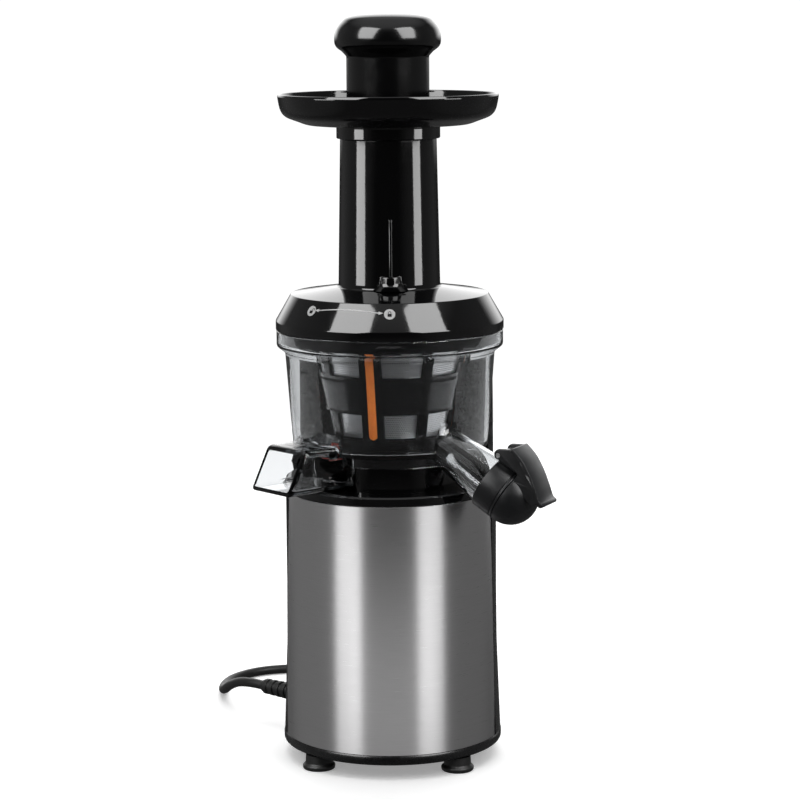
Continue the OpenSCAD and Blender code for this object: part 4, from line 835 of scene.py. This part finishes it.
def makeBowl():
    # bowl, juice spout and pulp chute are one clear moulding
    b = bowl
    piece = turned("clearBowl", fillet([(0, b.bottom), *bowlSide(False), (0, b.rim)], 12), "clear", b.facets)
    lug = fillet([(72.4, 275.9), (74.9, 276.5, 0.8), (74.9, 279.1, 0.8), (72.4, 279.9)])
    combined(piece, [spoutSolid("spoutOuter", 0, -14, b.spoutEnd), chuteSolid("chuteOuter", 0, 55.9, 0, 3.2),
                     turned("lug", lug, "clear", 18, -93, 14)])
    inside = fillet([(0, b.floor), *bowlSide(True)[:-1], (71.4, b.rim + 5), (0, b.rim + 5)], 12)
    way = spoutSolid("spoutWay", -b.spoutWall, -30, b.spoutEnd + 2)
    under = b.bottom - 3
    combined(way, [cylinder(b.hub + 2, b.chuteLow - 20, b.floor, facets=b.facets)], "DIFFERENCE")
    combined(piece, [turned("hollow", inside, "clear", b.facets)], "DIFFERENCE")
    combined(piece, [cylinder(b.hub, b.chuteLow - 20, b.bottom, facets=b.facets)], "DIFFERENCE")
    combined(piece, [chuteSolid("chuteInner", b.chuteWall, 66.3, 8, 1.8), way,
                     cylinder(b.seal, under, b.floor + 2), cylinder(4, under, b.floor + 2, b.chuteAt, 50)],
             "DIFFERENCE")
    # on the floor: the seal's collar, the idler's pin, the pulp duct and two posts for the strainer
    f = b.floor - 1
    extras = [
        pillar(0, 0, [(b.seal, f), (b.seal + 1.4, f), (b.seal + 1.4, f + 4.4), (b.seal + 1.1, f + 4.6),
                      (b.seal, f + 4.6)]),
        pillar(45, b.pulpAt, [(0, f), (3, f), (3, b.posts - 0.3), (2.7, b.posts), (0, b.posts)]),
        pillar(b.chuteAt, b.pulpAt, [(8.6, f), (10.2, f), (10.2, b.posts - 0.2), (10, b.posts), (8.6, b.posts)])]
    for at in (-15, 105):
        extras.append(pillar(at, b.pulpAt, [(0, f), (4, f), (4, b.posts), (2, b.posts), (2, b.posts + 1.8),
            (1.8, b.posts + 2), (0, b.posts + 2)]))
    ring = fillet([(52.7, 199, 0.4), (55.3, 199, 0.4), (55.3, 207), (52.7, 207)])
    for turn in (0, 120, 240):
        extras.append(turned("footRing", ring, "clear", 60, -113 + turn, 61))
    combined(piece, extras)
    combined(piece, [cylinder(8.6, under, b.floor + 9, b.chuteAt, b.pulpAt)], "DIFFERENCE")
    smoothed(piece.data, 28)
    return settle(piece, "bowl", "clear", "juice_bowl", "juice_spout", "pulp_chute")


def sidePart(name, outline, low, high, soft, limit=50, angle=32):
    # a slab with soft edges, its outline in (up, along) of the spout's side view
    place = spoutFrame() @ Matrix(((1, 0, 0, 0), (0, 0, 1, 0), (0, 1, 0, 0), (0, 0, 0, 1)))
    return softEdges(slabbed(name, outline, low, high, "dark_grey", place, angle), soft, limit)


def makeSpoutSleeve():
    s = spout
    start, end, r = s.sleeveFrom, s.sleeveTo, s.radius
    outline = fillet([(s.inner, start, 0.3), (r, start, 0.8), (r, end - 2.4, 0.2), (r - 0.5, end - 2.0, 0.2),
                      (r - 0.5, end - 1.5, 0.2), (r, end - 1.1, 0.2), (r, end, 0.4), (s.inner, end, 0.3)], 20)
    piece = turned("spoutSleeve", outline, "dark_grey", 128, place=spoutFrame())
    up, along = s.pinUp, s.pinAlong
    ear = fillet([(16.8, start + 0.6), (16.8, start + 9), (up - 0.6, along + 3.6, 3), (up + 2.6, along, 3),
                  (up - 1.2, along - 2.8, 2.5)])
    combined(piece, [sidePart("ear", ear, low, low + 3, 0.4, 40) for low in (-7.5, 4.5)])
    smoothed(piece.data, 32)
    settle(piece, "bowl", "dark_grey", "spout_sleeve")


def makeSpoutCap():
    s = spout
    cap, r = s.cap, s.radius
    centre, inside = cap + 1, r - 1.8
    dome, hollow = [[(size * cos(radians(a)), centre + size * sin(radians(a))) for a in range(0, 90, 5)]
                    + [(0, centre + size)] for size in (r, inside)]
    outline = [(r - 0.3, cap), (r, cap + 0.3)] + dome + hollow[::-1] + [(inside, cap)]
    piece = turned("spoutCap", outline, "dark_grey", 128, place=spoutFrame())
    # the lever: a curved plate over the cap, with a cheek at each side that reaches the pin
    outer = flowing([(30.6, cap - 11), (28.4, cap - 2), (23.6, cap + 7.2), (17.8, cap + 15.4), (13.4, cap + 21),
                     (12.8, cap + 23.6)], 8)
    inner = flowing([(9.8, cap + 23.8), (10.4, cap + 20.4), (14.8, cap + 13.6), (20.2, cap + 6.2), (25.4, cap - 3),
                     (28.2, cap - 12)], 8)
    plate = [*outer, (12.4, cap + 24.6), (11.6, cap + 25), (10.6, cap + 24.8), *inner, (29.6, cap - 11.9)]
    cheek = fillet([(18.6, 29.4, 2), (21.2, 26.8, 3), (24.4, 27.6, 3), (29, cap - 12.4, 1), (26.4, cap - 2, 6),
                    (21.4, cap + 6.8, 6), (15, cap + 15, 4), (10.6, cap + 21.4, 1), (7.6, cap + 19, 1),
                    (9, cap + 10), (13.6, cap + 0.5, 0.4), (19.2, cap + 0.4, 1), (19.2, 33, 1)])
    half = s.wide / 2
    combined(piece, [sidePart("plate", plate, -half, half, 0.5, angle=25)]
             + [sidePart("cheek", cheek, low, low + 3, 0.45) for low in (-half, half - 3)])
    pinPlace = spoutFrame() @ shift(s.pinUp, 0, s.pinAlong) @ rotation(90, "X")
    bore = turned("bore", [(0, -20), (1.65, -20), (1.65, 20), (0, 20)], "dark_grey", 32, place=pinPlace)
    combined(piece, [bore], "DIFFERENCE")
    smoothed(piece.data, 32)
    settle(piece, "cap", "dark_grey", "spout_cap")


basket = Sizes(foot=212.9, high=67, lowRadius=38.5, topRadius=50.5, wall=2.0, sheet=0.5, lower=(215.6, 233.4),
               upper=(255.0, 277.6), pitch=1.45, hole=0.58)


def basketRadius(z):
    b = basket
    return b.lowRadius + (b.topRadius - b.lowRadius) * (z - b.foot) / b.high


def holeTile(pitch):
    # a six-sided tile with a six-sided hole, as thick as the sheet; tiles share their outer edges
    mesh = bmesh.new()
    outer, hole = pitch / sqrt(3), pitch * basket.hole / sqrt(3)
    layers = []
    for height in (0, -basket.sheet):
        for radius in (outer, hole):
            layers.append([mesh.verts.new(Vector((radius * sin(k * tau / 6), radius * cos(k * tau / 6),
                height)) * mm) for k in range(6)])
    top, topHole, bottom, bottomHole = layers
    for k in range(6):
        j = (k + 1) % 6
        mesh.faces.new((top[j], top[k], topHole[k], topHole[j]))
        mesh.faces.new((bottom[k], bottom[j], bottomHole[j], bottomHole[k]))
        mesh.faces.new((topHole[j], topHole[k], bottomHole[k], bottomHole[j]))
    data = bpy.data.meshes.new("holeTile")
    mesh.to_mesh(data)
    mesh.free()
    return added("holeTile", data)


def perforated(name, low, high):
    # staggered rows of tiles wrapped on the strainer's cone
    b = basket
    middle = basketRadius((low + high) / 2) - b.wall - 0.1
    columns = round(tau * middle / b.pitch)
    pitch = tau * middle / columns
    rowStep = pitch * sqrt(3) / 2
    slope = (b.topRadius - b.lowRadius) / b.high
    sizes = {"Columns": columns, "Rows": int((high - low) / rowStep), "LowHeight": low * mm,
             "RowStep": rowStep * mm, "LowRadius": (basketRadius(low) - b.wall - 0.1) * mm, "Slope": slope,
             "TileRadius": middle * mm}

    def place(enter, index, maths, node):
        row = maths("FLOOR", maths("DIVIDE", maths("ADD", index, 0.5), enter["Columns"]))
        column = maths("SUBTRACT", index, maths("MULTIPLY", row, enter["Columns"]))
        stagger = maths("MULTIPLY", maths("MODULO", row, 2.0), 0.5)
        angle = maths("DIVIDE", maths("MULTIPLY", maths("ADD", column, stagger), tau), enter["Columns"])
        rise = maths("MULTIPLY", row, enter["RowStep"])
        radius = maths("ADD", enter["LowRadius"], maths("MULTIPLY", rise, enter["Slope"]))
        spot = node("ShaderNodeCombineXYZ", {"X": maths("MULTIPLY", radius, maths("COSINE", angle)),
            "Y": maths("MULTIPLY", radius, maths("SINE", angle)), "Z": maths("ADD", rise, enter["LowHeight"])})
        turn = node("ShaderNodeCombineXYZ", {"X": pi / 2 + atan(slope), "Z": maths("ADD", angle, pi / 2)})
        scale = node("ShaderNodeCombineXYZ", {"X": maths("DIVIDE", radius, enter["TileRadius"]), "Y": 1, "Z": 1})
        return maths("MULTIPLY", enter["Columns"], enter["Rows"]), turn, spot, scale

    settle(repeated(holeTile(pitch), name, "steel_mesh", sizes, place, 0.05 * mm), "bowl", "steel_mesh")


def makeStrainer():
    b = basket
    smoothCopy("strainer_frame", "bowl", "black_satin", 0.35, finish="strainer")
    perforated("perforationLower", *b.lower)
    perforated("perforationUpper", *b.upper)
    # the plain middle of the sheet, hidden behind the frame's band
    low, high = b.lower[1] - 0.6, b.upper[0] + 0.4
    inner = b.wall + 0.1
    outline = [(basketRadius(low) - inner - b.sheet, low), (basketRadius(low) - inner, low),
               (basketRadius(high) - inner, high), (basketRadius(high) - inner - b.sheet, high)]
    settle(turned("strainerSheet", outline, "steel_mesh", 120), "bowl", "steel_mesh", "strainer_mesh")


wiper = Sizes(at=-100.5, count=3, wide=5.3, low=216.0, high=273.8, inner=1.0, outer=5.0, steps=22)


def makeWipers():
    w = wiper
    half = w.wide / 2
    rows = []
    # each row is a section across the strip, narrower at the rounded lower end
    for k in range(w.steps + 1):
        z = w.low + (w.high - w.low) * (k / w.steps) ** 1.6
        near = min(1, (z - w.low) / half)
        narrow = max(0.12, sqrt(max(0, 1 - (1 - near) ** 2)))
        r = basketRadius(z)
        section = [(w.inner, -half), (w.outer - 0.7, -half), (w.outer - 0.2, -half * 0.8), (w.outer, -half * 0.3),
                   (w.outer, half * 0.3), (w.outer - 0.2, half * 0.8), (w.outer - 0.7, half), (w.inner, half)]
        rows.append([(r + out, across * narrow, z) for out, across in section])
    strip = skinned("wiperStrip", rows, "silicone_orange", 50)
    settle(ringOf("wiperStrips", strip, "silicone_orange", w.count, w.at), "brush", "silicone_orange",
           "wiper_strips")


cordRoute = [(-94, 68, 24), (-103.4, 74.8, 24), (-113, 84, 22), (-121, 97, 16.5), (-127, 112, 9.5),
             (-131, 129, 4.6), (-132, 145, 3.3), (-129, 160, 3.3), (-121, 174, 3.3), (-109, 185, 3.3),
             (-94, 191, 3.3), (-78, 193, 3.3), (-62, 193, 3.3), (-48, 193, 3.3)]
cordSet = Sizes(across=6.5, centre=(-35, 150), radius=43, turns=4, step=7.2, rise=7, lay=3.3, perTurn=48, tail=38,
                plugHeight=8)


def coilPoints():
    c = cordSet
    out = []
    turns = c.turns
    for i in range(turns * c.perTurn + 1):
        t = i / c.perTurn
        angle = 90 - 360 * t
        radius = c.radius - c.step * (turns / 2 - abs(t - turns / 2))
        climb = min(1, max(0, (t - turns / 2 + 0.25) / 0.5))
        p = atAngle(radius, angle, c.lay + c.rise * climb)
        out.append(p + Vector((*c.centre, 0)))
    return out


def makeCord():
    c = cordSet
    x, y = c.centre
    far = y + c.radius
    last = [(x + 9, far, c.lay + c.rise), (x + 20, far, c.lay + c.rise), (x + c.tail - c.across, far, c.plugHeight),
            (x + c.tail, far, c.plugHeight)]
    points = flowing(cordRoute, 4) + coilPoints() + flowing(last, 4)
    curve = bpy.data.curves.new("mainsCord", "CURVE")
    curve.dimensions = "3D"
    curve.bevel_depth = c.across / 2 * mm
    curve.bevel_resolution = 5
    curve.use_fill_caps = True
    line = curve.splines.new("POLY")
    line.points.add(len(points) - 1)
    for spot, p in zip(line.points, points):
        spot.co = (*(p * mm), 1)
    line.use_smooth = True
    piece = added("mainsCord", curve)
    curve.materials.append(finishes["rubber_black"])
    settle(piece, "base", "rubber_black", "power_cord", "cord_coil")
    length = sum((b - a).length for a, b in zip(points, points[1:])) * mm
    print("cord length", round(length, 4))
    return piece, length


reliefShape = Sizes(ribs=7, shell=70.6)


def makeRelief():
    # ribbed sleeve: a tapering core, a collar at the housing and rings cut by side gaps
    first = Vector(cordRoute[0])
    end = hypot(first.x, first.y)
    turn = atan2(first.y, first.x)
    place = shift(0, 0, first.z) @ Matrix.Rotation(turn, 4, "Z") @ rotation(90, "Y")
    s, count = reliefShape.shell, reliefShape.ribs
    step = (end - s - 6) / count
    outline = [(3.3, s - 3), (4.9, s - 3), (4.9, s + 1.6), (6.9, s + 1.7), (7, s + 2.2), (6.5, s + 5.3),
               (6.1, s + 5.6), (4.7, s + 5.7)]
    for i in range(count):
        z, r, rib = s + 6 + i * step, 6.15 - 0.14 * i, step * 0.6
        outline += [(4.6, z), (r - 0.2, z), (r, z + 0.3), (r - 0.05, z + rib - 0.4), (r - 0.3, z + rib),
                    (4.5, z + rib)]
    outline += [(4.2, end - 0.3), (4.0, end), (3.3, end)]
    piece = turned("cordRelief", outline, "rubber_black", 56, place=place, angle=30)
    return settle(piece, "base", "rubber_black", "strain_relief")


# sections across the plug, from the cord to the face with the pins: place along it, width and thickness
plugShape = Sizes(pinGap=19, pin=1.95, pinLong=19, sections=(
    (0, 8, 8), (3, 9, 8.6), (9.5, 12.4, 12), (11, 24, 14.6), (13, 28.6, 15.6), (18, 30, 16), (33, 30, 16),
    (35.4, 29.2, 15.4), (36, 27.6, 14)))


def makePlug():
    c, p = cordSet, plugShape
    x, y = c.centre[0] + c.tail, c.centre[1] + c.radius
    place = shift(x, y, c.plugHeight) @ rotation(90, "Y") @ rotation(90, "Z")
    rows = [[(q.x, q.y, along) for q in roundedRectangle(wide, thick, min(wide, thick) * 0.42, 18)]
            for along, wide, thick in p.sections]
    body = settle(skinned("plugBody", rows, "rubber_black", 28, place), "base", "rubber_black", "mains_plug")
    pins = bmesh.new()
    for side in (-1, 1):
        spot = place @ shift(side * p.pinGap / 2, 0, 35)
        lathe(pins, fillet([(0, 0), (p.pin, 0), (p.pin, p.pinLong + 1, 1.2), (0, p.pinLong + 1)]), 32, place=spot)
    metal = settle(toObject("plugPins", pins, "steel_plain"), "base", "steel_plain")
    return body, metal


floorShape = Sizes(half=1.25, front=-0.14, behind=1.35)


def makeStage():
    f = floorShape
    data = bpy.data.meshes.new("floor")
    corners = [(-f.half, f.front, 0), (f.half, f.front, 0), (f.half, f.behind, 0), (-f.half, f.behind, 0)]
    data.from_pydata(corners, [], [(0, 1, 2, 3)])
    floor = added("floor", data)
    data.materials.append(newMaterial("paleFloor", Base_Color=(studio.floor,) * 3, Roughness=0.7,
        Emission_Color=(1, 1, 1), Emission_Strength=studio.floorGlow))
    floor.visible_glossy = False


makeCamera()
makeLights()
makeWorld()
print("camera and light ready")
finishes = makeFinishes()
finishes["pusher"] = glossPlastic("pusherGloss", (0.0024, 0.0024, 0.0028), 0.12, 0.05)
finishes["strainer"] = glossPlastic("strainerGloss", (0.0022, 0.0022, 0.0026), 0.14, 0.05)
cadDressed()
print("materials ready")
cordPiece, cordLength = makeCord()
relief = makeRelief()
plugParts = makePlug()
print("cord ready")
sleevePiece = makeSteelSleeve()
makeFeet()
smoothCopy("base_plate", "base", "black_satin", 0.3)
smoothCopy("back_cover", "base", "black_satin", 0.6)
smoothCopy("top_housing", "base", "black_gloss", 0.6)
smoothCopy("switch_bezel", "base", "black_satin", 0.4)
smoothCopy("rocker_switch", "rocker", "black_gloss", 0.4)
print("base ready")
bowlPiece = makeBowl()
makeSpoutSleeve()
makeSpoutCap()
print("bowl and spout ready")
makeStrainer()
smoothCopy("brush_frame", "brush", "black_satin", 0.35, finish="strainer")
makeWipers()
smoothCopy("auger", "auger", "black_satin", 0.3, finish="strainer")
print("strainer and brush ready")
lidFoot, lidRoof, tubeEnd = makeLid()
makeLidMarks(lidFoot)
tubePiece = makeFeedTube(lidRoof, tubeEnd)
trayPiece = makeTray()
makePusher()
linkLights({"feed_tube": [tubePiece, trayPiece], "steel_sleeve": [sleevePiece], "juice_bowl": [bowlPiece]})
print("lid, tray and pusher ready")
makeStage()
